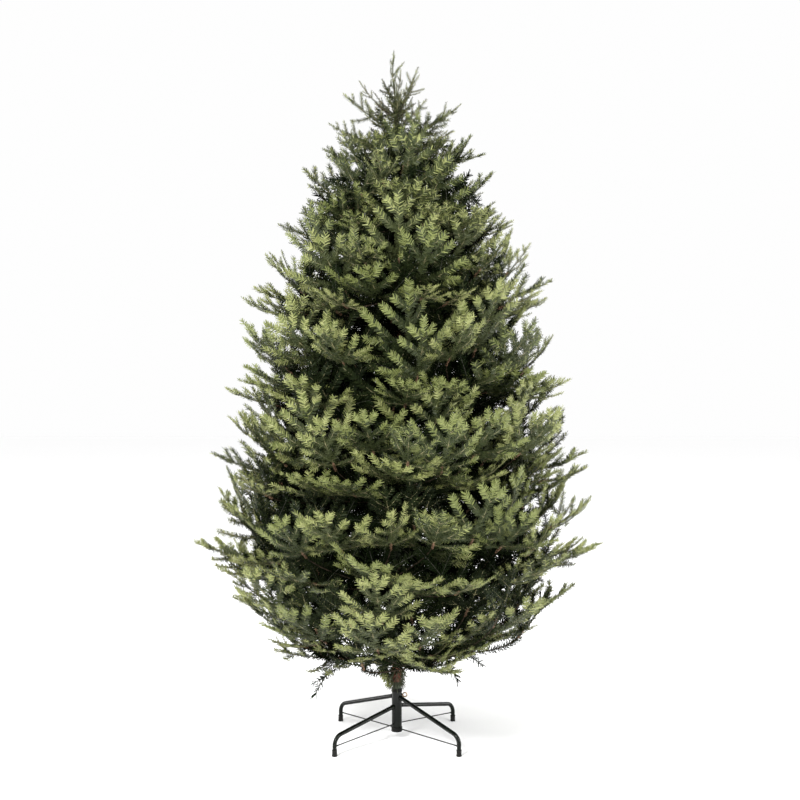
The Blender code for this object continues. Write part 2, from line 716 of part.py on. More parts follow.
def make_mass(name, mass, start_radius, parts, material):
    # Stem, twigs and fans fused into one solid by a single union.
    pieces = make_collection(f"{name}_pieces")
    for number, (start, end) in enumerate(mass["twigs"]):
        make_rod(f"{name}_twig_{number}", start, end, TWIG_RADII, 3, pieces)
    for number, spray in enumerate(mass["sprays"]):
        make_fan(f"{name}_fan_{number}", spray, pieces)
    for number, (start, direction, length) in enumerate(mass["fillers"]):
        make_filler(f"{name}_filler_{number}", start, direction, length, pieces)
    start, end = mass["stem"]
    item = make_rod(name, start, end, (start_radius, STEM_RADII[1]), 6, parts, material)
    boolean(item, "UNION", pieces)
    keep_outer_shell(item)
    item.data.materials.clear()
    item.data.materials.append(material)
    for piece in list(pieces.objects):
        bpy.data.objects.remove(piece, do_unlink=True)
    bpy.data.collections.remove(pieces)
    return item


def make_crown(parts):
    for tier_number, tier in enumerate(TIERS):
        for number in range(tier["count"]):
            mass = grow_mass(tier_number, number, tier["seed"] + number)
            place = f"{tier_number + 1}_{number + 1}"
            if tier["bough"]:
                bark = make_material(f"bough_{place}_brown", (0.10, 0.06, 0.04), 0.80)
                make_rod(f"bough_{place}", *mass["bough"], BOUGH_RADII, 8, parts, bark)
            green = make_material(f"foliage_{place}_green", (0.10, 0.14, 0.05), 0.65)
            make_mass(f"foliage_{place}", mass, STEM_RADII[0], parts, green)
            print("mass", place, len(mass["sprays"]), "sprays", len(mass["fillers"]), "fillers")
    green = make_material("foliage_leader_green", (0.11, 0.15, 0.06), 0.65)
    make_mass("foliage_leader", grow_leader(LEADER_SEED), LEADER_RADIUS, parts, green)


def main():
    clear_scene()
    parts = make_collection("fir_tree")
    cutters = make_collection("cutters")
    make_hub(parts, cutters)
    make_eye_bolt(parts)
    legs = zip(LEG_TURNS, LEG_HUB_HEIGHTS, STAY_HUB_HEIGHTS)
    for number, (turn, hub_height, stay_height) in enumerate(legs, start=1):
        make_stand_leg(number, turn, hub_height, stay_height, parts)
    make_pole(parts)
    make_crown(parts)


main()
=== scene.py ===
# Looks of the artificial fir tree: wrapped pole, taped boughs, needle sprays and steel stand.
import math
import random

import bpy
import numpy as np
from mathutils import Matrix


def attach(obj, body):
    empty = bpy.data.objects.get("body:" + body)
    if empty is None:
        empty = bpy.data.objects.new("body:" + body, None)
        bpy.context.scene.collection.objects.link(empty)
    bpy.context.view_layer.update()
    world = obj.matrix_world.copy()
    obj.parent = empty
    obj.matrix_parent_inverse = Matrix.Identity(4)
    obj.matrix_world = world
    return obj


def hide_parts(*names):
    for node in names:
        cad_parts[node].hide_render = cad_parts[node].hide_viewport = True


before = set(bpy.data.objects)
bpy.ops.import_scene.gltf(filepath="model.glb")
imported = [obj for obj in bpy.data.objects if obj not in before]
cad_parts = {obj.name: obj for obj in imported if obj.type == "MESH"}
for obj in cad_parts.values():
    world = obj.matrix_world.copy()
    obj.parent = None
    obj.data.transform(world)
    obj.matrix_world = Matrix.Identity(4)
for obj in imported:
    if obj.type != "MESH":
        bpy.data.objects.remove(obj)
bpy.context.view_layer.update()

up = np.array((0.0, 0.0, 1.0))
golden = 137.5  # golden angle in degrees


# Stage: camera at the photograph's height and distance, pale floor, soft light

stage = {
    "cameraDistance": 3.42, "cameraHeight": 1.025, "focal": 50.4, "shift": (0.004, 0.0025),
    "sensor": 36.0, "farthest": 100.0,
    "floorColour": (0.985, 0.985, 0.985), "floorRoughness": 0.9, "floorSize": 60.0,
    "skyColour": (1.0, 1.0, 1.0), "skyStrength": 0.99,
    # where the lights aim, and each light: name, place, width, height, watts
    "lit": (0.0, 0.0, 1.0),
    "lights": (
        ("keyLight", (-2.6, -4.3, 4.2), 1.3, 1.3, 480),
        ("fillLight", (2.8, -2.6, 2.0), 1.6, 1.6, 90),
        ("topLight", (0.0, 0.3, 7.0), 2.2, 2.2, 290),
        ("leftLine", (-3.2, 0.1, 0.60), 1.8, 0.40, 42),
        ("rightLine", (3.2, 0.1, 0.60), 1.8, 0.40, 42),
    ),
}


def aimAt(place, target):
    # Turn that points the object's -Z from its place to the target.
    direction = np.subtract(target, place)
    flat = math.hypot(direction[0], direction[1])
    return (math.atan2(flat, -direction[2]), 0.0, math.atan2(direction[1], direction[0]) - math.pi / 2)


def makeStage():
    # Camera, sky, lights and a floor of plain paper.
    scene = bpy.context.scene
    scene.view_settings.view_transform = "Standard"
    camera = bpy.data.cameras.new("camera")
    camera.lens = stage["focal"]
    camera.sensor_width = stage["sensor"]
    camera.shift_x, camera.shift_y = stage["shift"]
    camera.clip_end = stage["farthest"]
    holder = bpy.data.objects.new("camera", camera)
    holder.location = (0.0, -stage["cameraDistance"], stage["cameraHeight"])
    holder.rotation_euler = (math.pi / 2, 0.0, 0.0)
    scene.collection.objects.link(holder)
    scene.camera = holder

    world = bpy.data.worlds.new("sky")
    world.use_nodes = True
    background = world.node_tree.nodes["Background"]
    background.inputs["Color"].default_value = (*stage["skyColour"], 1.0)
    background.inputs["Strength"].default_value = stage["skyStrength"]
    scene.world = world

    for name, place, width, height, watts in stage["lights"]:
        lamp = bpy.data.lights.new(name, "AREA")
        lamp.shape = "RECTANGLE"
        lamp.size = width
        lamp.size_y = height
        lamp.energy = watts
        item = bpy.data.objects.new(name, lamp)
        item.location = place
        item.rotation_euler = aimAt(place, stage["lit"])
        scene.collection.objects.link(item)

    half = stage["floorSize"] / 2
    mesh = bpy.data.meshes.new("floor")
    mesh.from_pydata([(-half, -half, 0), (half, -half, 0), (half, half, 0), (-half, half, 0)], [],
                     [(0, 1, 2, 3)])
    floor = bpy.data.objects.new("floor", mesh)
    scene.collection.objects.link(floor)
    paper = plainMaterial("floorPaper", stage["floorColour"], stage["floorRoughness"])
    mesh.materials.append(paper)


# Materials

def linear(colour):
    # Linear colour from the 0 to 255 values of a display colour.
    share = np.asarray(colour, float) / 255
    return tuple(np.where(share <= 0.04045, share / 12.92, ((share + 0.055) / 1.055) ** 2.4))


def plainMaterial(name, colour, roughness, metallic=0.0, specular=0.5):
    material = bpy.data.materials.new(name)
    material.use_nodes = True
    shader = material.node_tree.nodes["Principled BSDF"]
    shader.inputs["Base Color"].default_value = (*colour, 1.0)
    shader.inputs["Roughness"].default_value = roughness
    shader.inputs["Metallic"].default_value = metallic
    shader.inputs["Specular IOR Level"].default_value = specular
    material.diffuse_color = (*colour, 1.0)
    return material


finishes = {
    # dark and light shade, roughness, the noise's scale and stretch along Z, the spread of the
    # roughness, the bump's depth, metallic, gloss
    "greenBlackEnamel": ((4, 6, 4), (11, 16, 10), 0.15, 60, 0.3, 0.04, 0.00005, 0, 0.17),
    "blackWire": ((12, 14, 12), (30, 32, 28), 0.34, 90, 1.0, 0.10, 0.0001, 0, 0.12),
    "blackPlastic": ((8, 8, 7), (20, 20, 18), 0.36, 150, 1.0, 0.08, 0.0001, 0, 0.10),
    "footRubber": ((12, 12, 11), (28, 28, 26), 0.55, 200, 1.0, 0.10, 0.0002, 0, 0.16),
    "yellowBrownSteel": ((112, 84, 56), (172, 142, 104), 0.34, 250, 1.0, 0.12, 0.0001, 0.85, 0.35),
    "greenPolePaint": ((42, 52, 34), (60, 72, 48), 0.45, 45, 0.2, 0.10, 0.0002, 0, 0.35),
    "brownCollar": ((84, 44, 30), (122, 66, 48), 0.42, 80, 1.0, 0.10, 0.0002, 0, 0.35),
    "brownTape": ((36, 29, 20), (66, 52, 38), 0.62, 130, 1.0, 0.12, 0.0003, 0, 0.35),
    "redBrownTape": ((78, 58, 43), (124, 97, 74), 0.58, 160, 1.0, 0.12, 0.0003, 0, 0.35),
}
graining = {"detail": 5.0, "shadeRange": (0.35, 0.65), "fineScale": 6, "bumpStrength": 0.6}


def grainMaterial(name):
    # The two shades of a finish mixed by noise on Object coordinates, which also moves the
    # roughness, with a finer noise as a bump.
    dark, light, roughness, scale, stretch, spread, depth, metallic, gloss = finishes[name]
    dark, light = linear(dark), linear(light)
    material = plainMaterial(name, light, roughness, metallic, gloss)
    tree = material.node_tree
    shader = tree.nodes["Principled BSDF"]

    def add(kind, output, source=None, socket=None, **values):
        node = tree.nodes.new(f"ShaderNode{kind}")
        for key, value in values.items():
            node.inputs[key].default_value = value
        if source:
            tree.links.new(source, node.inputs[socket])
        return node, node.outputs[output]

    place = add("TexCoord", "Object")[1]
    spot = add("Mapping", "Vector", place, "Vector", Scale=(1.0, 1.0, stretch))[1]
    noise = add("TexNoise", "Fac", spot, "Vector", Scale=scale, Detail=graining["detail"])[1]
    ramp, shade = add("ValToRGB", "Color", noise, "Fac")
    for element, position, colour in zip(ramp.color_ramp.elements, graining["shadeRange"],
                                         (dark, light)):
        element.position = position
        element.color = (*colour, 1.0)
    rough = add("MapRange", "Result", noise, "Value",
                **{"To Min": roughness - spread, "To Max": roughness + spread})[1]
    fine = add("TexNoise", "Fac", spot, "Vector", Scale=scale * graining["fineScale"])[1]
    bump = add("Bump", "Normal", fine, "Height", Distance=depth, Strength=graining["bumpStrength"])[1]
    tree.links.new(shade, shader.inputs["Base Color"])
    tree.links.new(rough, shader.inputs["Roughness"])
    tree.links.new(bump, shader.inputs["Normal"])
    return material


# Surfaces worked out as whole arrays

def buildPiece(name, points, faces, material, slot, smooth=False):
    # A mesh from an array of points and a list of face arrays, one array for each number of
    # corners. It rides on the tree's one body.
    corners = np.concatenate([face.ravel() for face in faces]).astype(np.int32)
    sizes = np.concatenate([np.full(len(face), face.shape[1]) for face in faces])
    mesh = bpy.data.meshes.new(name)
    mesh.vertices.add(len(points))
    mesh.vertices.foreach_set("co", np.asarray(points, np.float32).ravel())
    mesh.loops.add(len(corners))
    mesh.loops.foreach_set("vertex_index", corners)
    mesh.polygons.add(len(sizes))
    mesh.polygons.foreach_set("loop_start", (np.cumsum(sizes) - sizes).astype(np.int32))
    mesh.update(calc_edges=True)
    mesh.validate()
    if smooth:
        mesh.shade_smooth()
        mesh.set_sharp_from_angle(angle=math.radians(42))
    mesh.materials.append(material)
    item = bpy.data.objects.new(name, mesh)
    bpy.context.scene.collection.objects.link(item)
    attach(item, "root")
    print("piece", name, int((sizes - 2).sum()), "triangles")
    return item


def unit(vectors):
    return vectors / np.maximum(np.linalg.norm(vectors, axis=-1, keepdims=True), 1e-9)


def squared(vectors, directions):
    # Each vector without its part along its direction, at length 1.
    return unit(vectors - (vectors * directions).sum(1, keepdims=True) * directions)


def swing(first, second, angle):
    # Cosine of the angle times the first + sine of the angle times the second.
    angle = angle.reshape(-1, 1)
    return first * np.cos(angle) + second * np.sin(angle)


def ringFaces(rows, columns):
    # Quads between neighbouring points of a grid of rows, each row closed into a ring.
    row, column = np.meshgrid(np.arange(rows - 1), np.arange(columns), indexing="ij")
    right = (column + 1) % columns
    here = row * columns
    quads = np.stack([here + column, here + right, here + columns + right, here + columns + column],
                     axis=-1)
    return quads.reshape(-1, 4)


def tubes(paths, radii, sides, reference, relief=None):
    # Round tubes along many paths at once: point = path + radius * (cosine of the turn *
    # normal + sine of the turn * binormal), the normal being square to the reference and the
    # path. Both ends are closed by a face of all sides. relief, of the way along and the
    # turn, scales the radius.
    paths = np.asarray(paths, float)
    count, rings = paths.shape[:2]
    tangents = unit(np.gradient(paths, axis=1))
    normals = unit(np.cross(np.broadcast_to(reference, tangents.shape), tangents))
    binormals = np.cross(tangents, normals)
    turn = np.linspace(0, 2 * math.pi, sides, endpoint=False)
    radii = np.broadcast_to(np.asarray(radii, float), (count, rings))[:, :, None, None]
    if relief is not None:
        steps = np.linalg.norm(np.diff(paths, axis=1), axis=2)
        way = np.concatenate([np.zeros((count, 1)), np.cumsum(steps, axis=1)], axis=1)
        radii = radii * relief(way[:, :, None], turn[None, None, :])[..., None]
    ring = (np.cos(turn)[:, None] * normals[:, :, None, :]
            + np.sin(turn)[:, None] * binormals[:, :, None, :])
    points = (paths[:, :, None, :] + radii * ring).reshape(-1, 3)
    starts = np.arange(count) * rings * sides
    quads = (ringFaces(rings, sides)[None] + starts[:, None, None]).reshape(-1, 4)
    order = np.arange(sides)
    near = starts[:, None] + order[::-1]
    far = starts[:, None] + (rings - 1) * sides + order
    return points, [quads, np.concatenate([near, far])]


def turned(profile, sides, centre=(0.0, 0.0, 0.0)):
    # Surface of revolution: each profile point (radius, height), down the outer side, is
    # carried round Z. A profile that ends on the axis closes there in a fan.
    profile = np.asarray(profile, float)
    onAxis = profile[:, 0] < 1e-9
    ring = profile[~onAxis]
    turn = np.linspace(0, 2 * math.pi, sides, endpoint=False)
    points = np.stack([
        ring[:, :1] * np.cos(turn), ring[:, :1] * np.sin(turn),
        np.repeat(ring[:, 1:], sides, axis=1)], axis=-1).reshape(-1, 3)
    quads = ringFaces(len(ring), sides)[:, ::-1]
    order = np.arange(sides)
    after = (order + 1) % sides
    last = (len(ring) - 1) * sides
    if onAxis.any():
        top = len(points)
        points = np.concatenate([points, [(0.0, 0.0, profile[0, 1]), (0.0, 0.0, profile[-1, 1])]])
        faces = [quads, np.concatenate([
            np.stack([order, after, np.full(sides, top)], axis=1),
            np.stack([last + after, last + order, np.full(sides, top + 1)], axis=1)])]
    else:
        closing = np.stack([order, last + order, last + after, after], axis=1)[:, ::-1]
        faces = [np.concatenate([quads, closing])]
    return points + np.asarray(centre), faces


def roundedProfile(corners, radius, steps=4):
    # Each corner of an open profile becomes an arc-like bend: a quadratic curve from a point
    # before the corner to one after it, each the radius away or half of the shorter side.
    corners = np.asarray(corners, float)
    result = [corners[0]]
    for before, corner, after in zip(corners, corners[1:], corners[2:]):
        back, ahead = before - corner, after - corner
        reach = min(radius, np.linalg.norm(back) / 2.05, np.linalg.norm(ahead) / 2.05)
        first = corner + back / np.linalg.norm(back) * reach
        last = corner + ahead / np.linalg.norm(ahead) * reach
        part = np.linspace(0, 1, steps)[:, None]
        result.extend(first * (1 - part) ** 2 + corner * 2 * part * (1 - part) + last * part ** 2)
    result.append(corners[-1])
    return np.array(result)


def joinShapes(shapes):
    # Several (points, face arrays) become one, their numbers moved on by what comes before.
    points, faces, first = [], [], 0
    for shapePoints, shapeFaces in shapes:
        points.append(shapePoints)
        faces.extend(face + first for face in shapeFaces)
        first += len(shapePoints)
    return np.concatenate(points), faces


def polar(radius, turn, height):
    # Point from its distance to the axis, its turn in degrees from +X, and its height.
    angle = math.radians(turn)
    return np.array((radius * math.cos(angle), radius * math.sin(angle), height))


def heading(turn, rise):
    # Direction from its turn from +X and its rise above the level, in degrees.
    rise = math.radians(rise)
    return polar(math.cos(rise), turn, math.sin(rise))


# Steel stand

stand = {
    "hubRadius": 0.0153, "hubWall": 0.0022, "hubBottom": 0.0243, "hubTop": 0.1485,
    "capRadius": 0.0168, "capBottom": 0.0210, "capTop": 0.0350,
    "rimRadius": 0.0169, "rimBottom": 0.1420, "rimTop": 0.1520,
    "bossRadius": 0.0060, "bossReach": 0.0163, "boltHeight": 0.1315, "boltRadius": 0.0029,
    "boltLength": 0.0062, "threadPitch": 0.0010, "eyeRadius": 0.0063, "eyeWire": 0.0017,
    "eyeSink": 0.0007, "poleRadius": 0.0125, "clearance": 0.0003,
    "footOffset": 0.180, "legRadius": 0.0063, "legBend": 0.030, "kneeHeight": 0.055,
    "legTurns": (225, 45, 315, 135), "legHeights": (0.097, 0.097, 0.125, 0.125),
    "footCapRadius": 0.0079, "footCapHeight": 0.0190, "footCapFloor": 0.0030,
    "stayRadius": 0.0017, "stayHeights": (0.044, 0.044, 0.0305, 0.0305),
    "stayLegHeight": 0.0285, "weldSwell": 0.0011, "weldLength": 0.005,
    # sides round the hub, foot caps, boss, bolt, legs and stays, and round the eye and its wire
    "hubSides": 72, "capSides": 56, "bossSides": 32, "boltSides": 24, "legSides": 28,
    "staySides": 14, "eyeSides": (56, 16),
    # rings along the bolt, the stay, and the leg's straight part, arc and foot
    "boltRings": 40, "stayRings": 60, "legRings": (24, 14, 5),
    "hubRounding": 0.0006, "capRounding": 0.0008, "rimRounding": 0.0010,
    # the boss's root in the hub's wall, and its mouth: way back from the end, and how much
    # narrower it is there
    "bossSink": 0.0008, "bossEdge": ((0.0006, 0.0), (0.0002, 0.0002), (0.0, 0.0008)),
    # half the thread's depth as a part of the bolt's radius, and the gap between the hub and
    # the leg's first ring as a part of the leg's radius
    "threadDepth": 0.05, "legStart": 0.3,
    # groove round the foot cap: heights of its lower edges, its upper ones from the top, depth
    "capGroove": ((0.0040, 0.0060), (0.0030, 0.0022), 0.0005),
}


def makeHub():
    # The hub's tube with its boss, the cap below it and the rim on its mouth.
    enamel, plastic = grainMaterial("greenBlackEnamel"), grainMaterial("blackPlastic")
    outer, gap, sides = stand["hubRadius"], stand["clearance"], stand["hubSides"]
    inner = outer - stand["hubWall"]
    middle = (outer + inner) / 2
    wall = roundedProfile(
        [(middle, stand["hubTop"]), (outer, stand["hubTop"]), (outer, stand["hubBottom"]),
         (inner, stand["hubBottom"]), (inner, stand["hubTop"]), (middle, stand["hubTop"])],
        stand["hubRounding"])
    reach, height, thick = stand["bossReach"], stand["boltHeight"], stand["bossRadius"]
    edge = [(reach - back, thick - narrower) for back, narrower in stand["bossEdge"]]
    ways, radii = zip((outer - stand["bossSink"], thick), *edge)
    boss = tubes([[(way, 0, height) for way in ways]], list(radii), stand["bossSides"], up)
    item = buildPiece("hubTube", *joinShapes([turned(wall[:-1], sides), boss]), enamel,
                      "stand_steel", True)
    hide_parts("hub_tube")

    around = outer + gap
    floor = stand["hubBottom"] - gap
    cup = roundedProfile(
        [(0, floor), (around, floor), (around, stand["capTop"]),
         (stand["capRadius"], stand["capTop"]), (stand["capRadius"], stand["capBottom"]),
         (0, stand["capBottom"])], stand["capRounding"])
    item = buildPiece("hubBaseCap", *turned(cup, sides), plastic, "black_plastic", True)
    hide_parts("hub_base_cap")

    bore = stand["poleRadius"] + gap
    edge = stand["hubTop"] + gap
    halfway = (stand["rimRadius"] + bore) / 2
    rim = roundedProfile(
        [(halfway, stand["rimTop"]), (stand["rimRadius"], stand["rimTop"]),
         (stand["rimRadius"], stand["rimBottom"]), (around, stand["rimBottom"]), (around, edge),
         (bore, edge), (bore, stand["rimTop"]), (halfway, stand["rimTop"])], stand["rimRounding"])
    item = buildPiece("hubRim", *turned(rim[:-1], sides), plastic, "black_plastic", True)
    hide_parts("hub_rim")


def ringShape(centre, radius, wire, around, across):
    # Torus that stands in the XZ plane: centre + (radius + wire * cos v) * (cos u X + sin u Z)
    # + wire * sin v * Y.
    u = np.linspace(0, 2 * math.pi, around, endpoint=False)[:, None]
    v = np.linspace(0, 2 * math.pi, across, endpoint=False)[None, :]
    reach = radius + wire * np.cos(v)
    points = np.stack(np.broadcast_arrays(
        centre[0] + reach * np.cos(u), centre[1] + wire * np.sin(v),
        centre[2] + reach * np.sin(u)), axis=-1)
    points = np.concatenate([points, points[:1]])
    faces = ringFaces(around + 1, across) % (around * across)
    return points[:-1].reshape(-1, 3), [faces]


def makeEyeBolt():
    # Threaded shank, radius * (1 - depth * (1 + cos(2 pi way / pitch - turn))), and the eye.
    start = stand["poleRadius"] + stand["clearance"]
    end = start + stand["boltLength"]
    height = stand["boltHeight"]
    path = np.linspace((start, 0.0, height), (end, 0.0, height), stand["boltRings"])

    def thread(way, turn):
        wave = np.cos(2 * math.pi * way / stand["threadPitch"] - turn)
        return 1 - stand["threadDepth"] * (1 + wave)

    shank = tubes([path], stand["boltRadius"], stand["boltSides"], up, thread)
    centre = (end + stand["eyeRadius"] - stand["eyeSink"], 0.0, height)
    eye = ringShape(centre, stand["eyeRadius"], stand["eyeWire"], *stand["eyeSides"])
    item = buildPiece("eyeBolt", *joinShapes([shank, eye]), grainMaterial("yellowBrownSteel"),
                      "bolt_steel", True)
    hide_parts("eye_bolt")


def legPath(height, turn):
    # Straight down from the hub, through an arc, and upright to the foot, as (radius, height).
    foot = math.hypot(stand["footOffset"], stand["footOffset"])
    start = stand["hubRadius"] + stand["clearance"] + stand["legRadius"] * stand["legStart"]
    slope = math.atan2(height - stand["kneeHeight"], foot - start)
    bend = math.pi / 2 - slope
    tangent = stand["legBend"] * math.tan(bend / 2)
    centre = (foot - stand["legBend"], stand["kneeHeight"] - tangent)
    straight, bent, upright = stand["legRings"]
    angles = np.linspace(bend, 0, bent)
    arc = np.stack([centre[0] + stand["legBend"] * np.cos(angles),
                    centre[1] + stand["legBend"] * np.sin(angles)], axis=1)
    near = np.linspace((start, height), arc[0], straight, endpoint=False)
    down = np.linspace(arc[-1], (foot, stand["footCapFloor"] + stand["clearance"]), upright)[1:]
    path = np.concatenate([near, arc, down])
    angle = math.radians(turn)
    return np.stack([path[:, 0] * math.cos(angle), path[:, 0] * math.sin(angle), path[:, 1]], axis=1)


def weldedRadii(path, radius, both):
    # The radius, swollen into a bead where the piece is welded: bead * exp(-(way / length)^2).
    steps = np.linalg.norm(np.diff(path, axis=0), axis=1)
    way = np.concatenate([[0], np.cumsum(steps)])
    swell = np.exp(-(way / stand["weldLength"]) ** 2)
    if both:
        swell = swell + np.exp(-((way[-1] - way) / stand["weldLength"]) ** 2)
    return radius + stand["weldSwell"] * swell


def makeLegs():
    # Each leg with its stay and its foot cap.
    enamel, wire, rubber = [grainMaterial(name)
                            for name in ("greenBlackEnamel", "blackWire", "footRubber")]
    foot = math.hypot(stand["footOffset"], stand["footOffset"])
    rows = zip(stand["legTurns"], stand["legHeights"], stand["stayHeights"])
    for number, (turn, height, stayHeight) in enumerate(rows, start=1):
        angle = math.radians(turn)
        side = (-math.sin(angle), math.cos(angle), 0.0)
        path = legPath(height, turn)
        leg = tubes([path], weldedRadii(path, stand["legRadius"], False), stand["legSides"], side)
        item = buildPiece(f"leg.{number}", *leg, enamel, "stand_steel", True)
        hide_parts(f"leg_{number}")

        wide = stayHeight <= stand["capTop"] + stand["stayRadius"]
        hub = stand["capRadius"] if wide else stand["hubRadius"]
        start = polar(hub + 2 * stand["clearance"], turn, stayHeight)
        end = polar(foot - stand["legRadius"] - 2 * stand["clearance"], turn, stand["stayLegHeight"])
        path = np.linspace(start, end, stand["stayRings"])
        stay = tubes([path], weldedRadii(path, stand["stayRadius"], True), stand["staySides"], side)
        item = buildPiece(f"stay.{number}", *stay, wire, "stand_steel", True)
        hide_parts(f"stay_{number}")

        bore = stand["legRadius"] + stand["clearance"]
        radius, tall = stand["footCapRadius"], stand["footCapHeight"]
        (low, lowFloor), (highFloor, high), depth = stand["capGroove"]
        cup = roundedProfile(
            [(0, stand["footCapFloor"]), (bore, stand["footCapFloor"]), (bore, tall),
             (radius, tall), (radius, tall - high), (radius - depth, tall - highFloor),
             (radius - depth, lowFloor), (radius, low), (radius, 0), (0, 0)],
            stand["capRounding"])
        cap = turned(cup, stand["capSides"], polar(foot, turn, 0))
        item = buildPiece(f"footCap.{number}", *cap, rubber, "cap_rubber", True)
        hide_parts(f"foot_cap_{number}")


# Growth rule of the crown, the same as the solids follow

crown = {
    # height and reach of the furthest tips
    "profile": (
        (0.15, 0.29), (0.24, 0.36), (0.35, 0.44), (0.42, 0.49), (0.50, 0.58), (0.60, 0.621),
        (0.68, 0.625), (0.90, 0.570), (1.04, 0.550), (1.34, 0.485), (1.48, 0.430), (1.66, 0.355),
        (1.82, 0.255), (1.92, 0.215), (2.00, 0.160), (2.10, 0.004),
    ),
    "shift": 0.008, "leaderLean": -0.010, "top": 2.10,
    # surfaces between the tiers: height at the pole and rise outwards
    "surfaces": (
        (0.235, 0.15), (0.355, 0.30), (0.620, 0.28), (0.895, 0.27), (1.165, 0.27), (1.425, 0.27),
        (1.690, 0.28),
    ),
    "rowParts": (0.18, 0.80), "rowWidth": 0.94,
    "spaceMargin": 0.004, "limbMargin": 0.012, "clearance": 0.0003,
    "boughRadii": (0.0056, 0.0044), "stemRadii": (0.0042, 0.0018),
    "endInset": 0.003, "endRoll": 15, "stemStep": 0.002, "twigSlope": 0.9, "twigFirst": 0.012,
    "twigBend": 0.28,
    "fanCentre": 0.30, "fanTips": ((0, 0.70), (50, 0.62), (100, 0.46)), "fanNotch": 0.52,
    "steps": 4,
}
stations = {
    # strays of the tip's turn, of the spray's rise and heading, of the level and of the roll,
    # each to both sides
    "turnStray": 4, "tiltStray": 9, "headingStray": 0, "levelStray": 0.09, "roll": 42,
    # each try makes the spray, and an eased roll, this part smaller and the turn's stray wider
    "tries": 24, "shrink": 0.020, "widen": 0.1, "easedRoll": True, "sizes": (0.95, 1.05),
    "tipReach": (0.87, 1.00), "tipInset": 0.002, "firstRadius": 0.29,
    # least distance between two fans' centres, as a part of their mean length
    "spacing": 0.55,
}
tiers = (
    {"collar": 0.225, "count": 4, "turn": 20, "bough": 0.12, "rise": 11,
     "rows": ((4, 8), (4, 38)), "spray": 0.215, "seed": 135},
    {"collar": 0.420, "count": 5, "turn": 190, "bough": 0.15, "rise": 18,
     "rows": ((4, 18), (5, 44)), "spray": 0.230, "seed": 90},
    {"collar": 0.690, "count": 4, "turn": 0, "bough": 0.14, "rise": 18,
     "rows": ((5, 18), (5, 46)), "spray": 0.235, "seed": 114},
    {"collar": 0.960, "count": 4, "turn": 35, "bough": 0.12, "rise": 18,
     "rows": ((5, 18), (4, 46)), "spray": 0.230, "seed": 7},
    {"collar": 1.230, "count": 4, "turn": 80, "bough": 0.00, "rise": 19,
     "rows": ((4, 18), (3, 46)), "spray": 0.225, "seed": 10},
    {"collar": 1.495, "count": 3, "turn": 30, "bough": 0.00, "rise": 22,
     "rows": ((4, 20), (3, 46)), "spray": 0.200, "seed": 38},
)
leader = {
    # height, number, rise and length of the sprays of each whorl
    "whorls": ((1.79, 6, 18, 0.180), (1.87, 5, 28, 0.165), (1.95, 4, 36, 0.145),
               (2.02, 3, 50, 0.115)),
    "spray": 0.150, "seed": 59, "tries": 12, "shrink": 0.03, "turn": 10, "tilt": 8,
    "level": 0.02, "reach": (0.86, 0.99), "fillers": 6,
}
filler = {
    "count": 4, "length": 0.175, "radius": 0.026, "widest": 0.45, "tries": 10,
    "shrink": 0.04, "run": (0.03, 0.62), "spread": (62, 118), "sizes": (0.75, 1.10),
}
hanging = {
    # part of the way along the stem, and side
    "places": ((0.10, -1), (0.55, 1)), "tries": 6, "shrink": 0.08, "ahead": (0.3, 0.8),
    "aside": (0.1, 0.5), "drop": (0.7, 1.1), "sizes": (0.8, 1.0),
}
pole = {
    "radii": (0.0125, 0.0112, 0.0098), "joints": (0.80, 1.36), "top": 1.715, "bottom": 0.0243,
    "collarRadius": 0.0155, "collarHeight": 0.026, "topCollar": 1.665, "lowestCollar": 0.040,
    # bottom, top and thickness of the brown tape below the lowest collar
    "tape": (0.172, 0.206, 0.0014),
}


def reachAt(height, azimuth):
    # Reach of the crown: the straight line between the profile's two nearest heights, plus
    # the shift times the cosine of the azimuth.
    heights, reaches = np.transpose(crown["profile"])
    low = np.clip(np.searchsorted(heights, height) - 1, 0, len(heights) - 2)
    part = (height - heights[low]) / (heights[low + 1] - heights[low])
    reach = reaches[low] + (reaches[low + 1] - reaches[low]) * part
    reach = reach + crown["shift"] * np.cos(azimuth) * np.minimum(1.0, reaches[low] * 3)
    return np.where((height < heights[0]) | (height > heights[-1]), 0.0, reach)


def stray(rng, most):
    return rng.uniform(-most, most)


def insideSpace(points, space):
    # True where a point lies between the pole and the reach, between the two sloping surfaces
    # and the sector's two sides, and clear of the bough's axis.
    radius = np.hypot(points[:, 0], points[:, 1])
    azimuth = np.arctan2(points[:, 1], points[:, 0])
    height = points[:, 2]
    margin = crown["spaceMargin"]
    inside = (radius >= space["inner"]) & (radius <= reachAt(height, azimuth))
    inside &= height >= space["low"][0] + space["low"][1] * radius + margin
    if space["high"]:
        inside &= height <= space["high"][0] + space["high"][1] * radius - margin
    if space["half"] < math.pi:
        turn = np.abs((azimuth - space["azimuth"] + math.pi) % (2 * math.pi) - math.pi)
        inside &= (turn <= space["half"]) & (radius * np.sin(space["half"] - turn) >= margin)
    if space["limb"] is not None:
        start, end = space["limb"]
        run = end - start
        part = np.clip((points - start) @ run / (run @ run), 0, 1)
        inside &= np.linalg.norm(start + part[:, None] * run - points, axis=1) >= crown["limbMargin"]
    return inside


def meetReach(level, reach, turn, space, radius):
    # Height and radius where a level between the space's surfaces meets a part of the reach,
    # nearer with each step.
    low, high = space["low"], space["high"]
    for step in range(crown["steps"]):
        floor = low[0] + low[1] * radius
        height = floor + level * (high[0] + high[1] * radius - floor)
        radius = reach * float(reachAt(height, math.radians(turn)))
    return height, radius


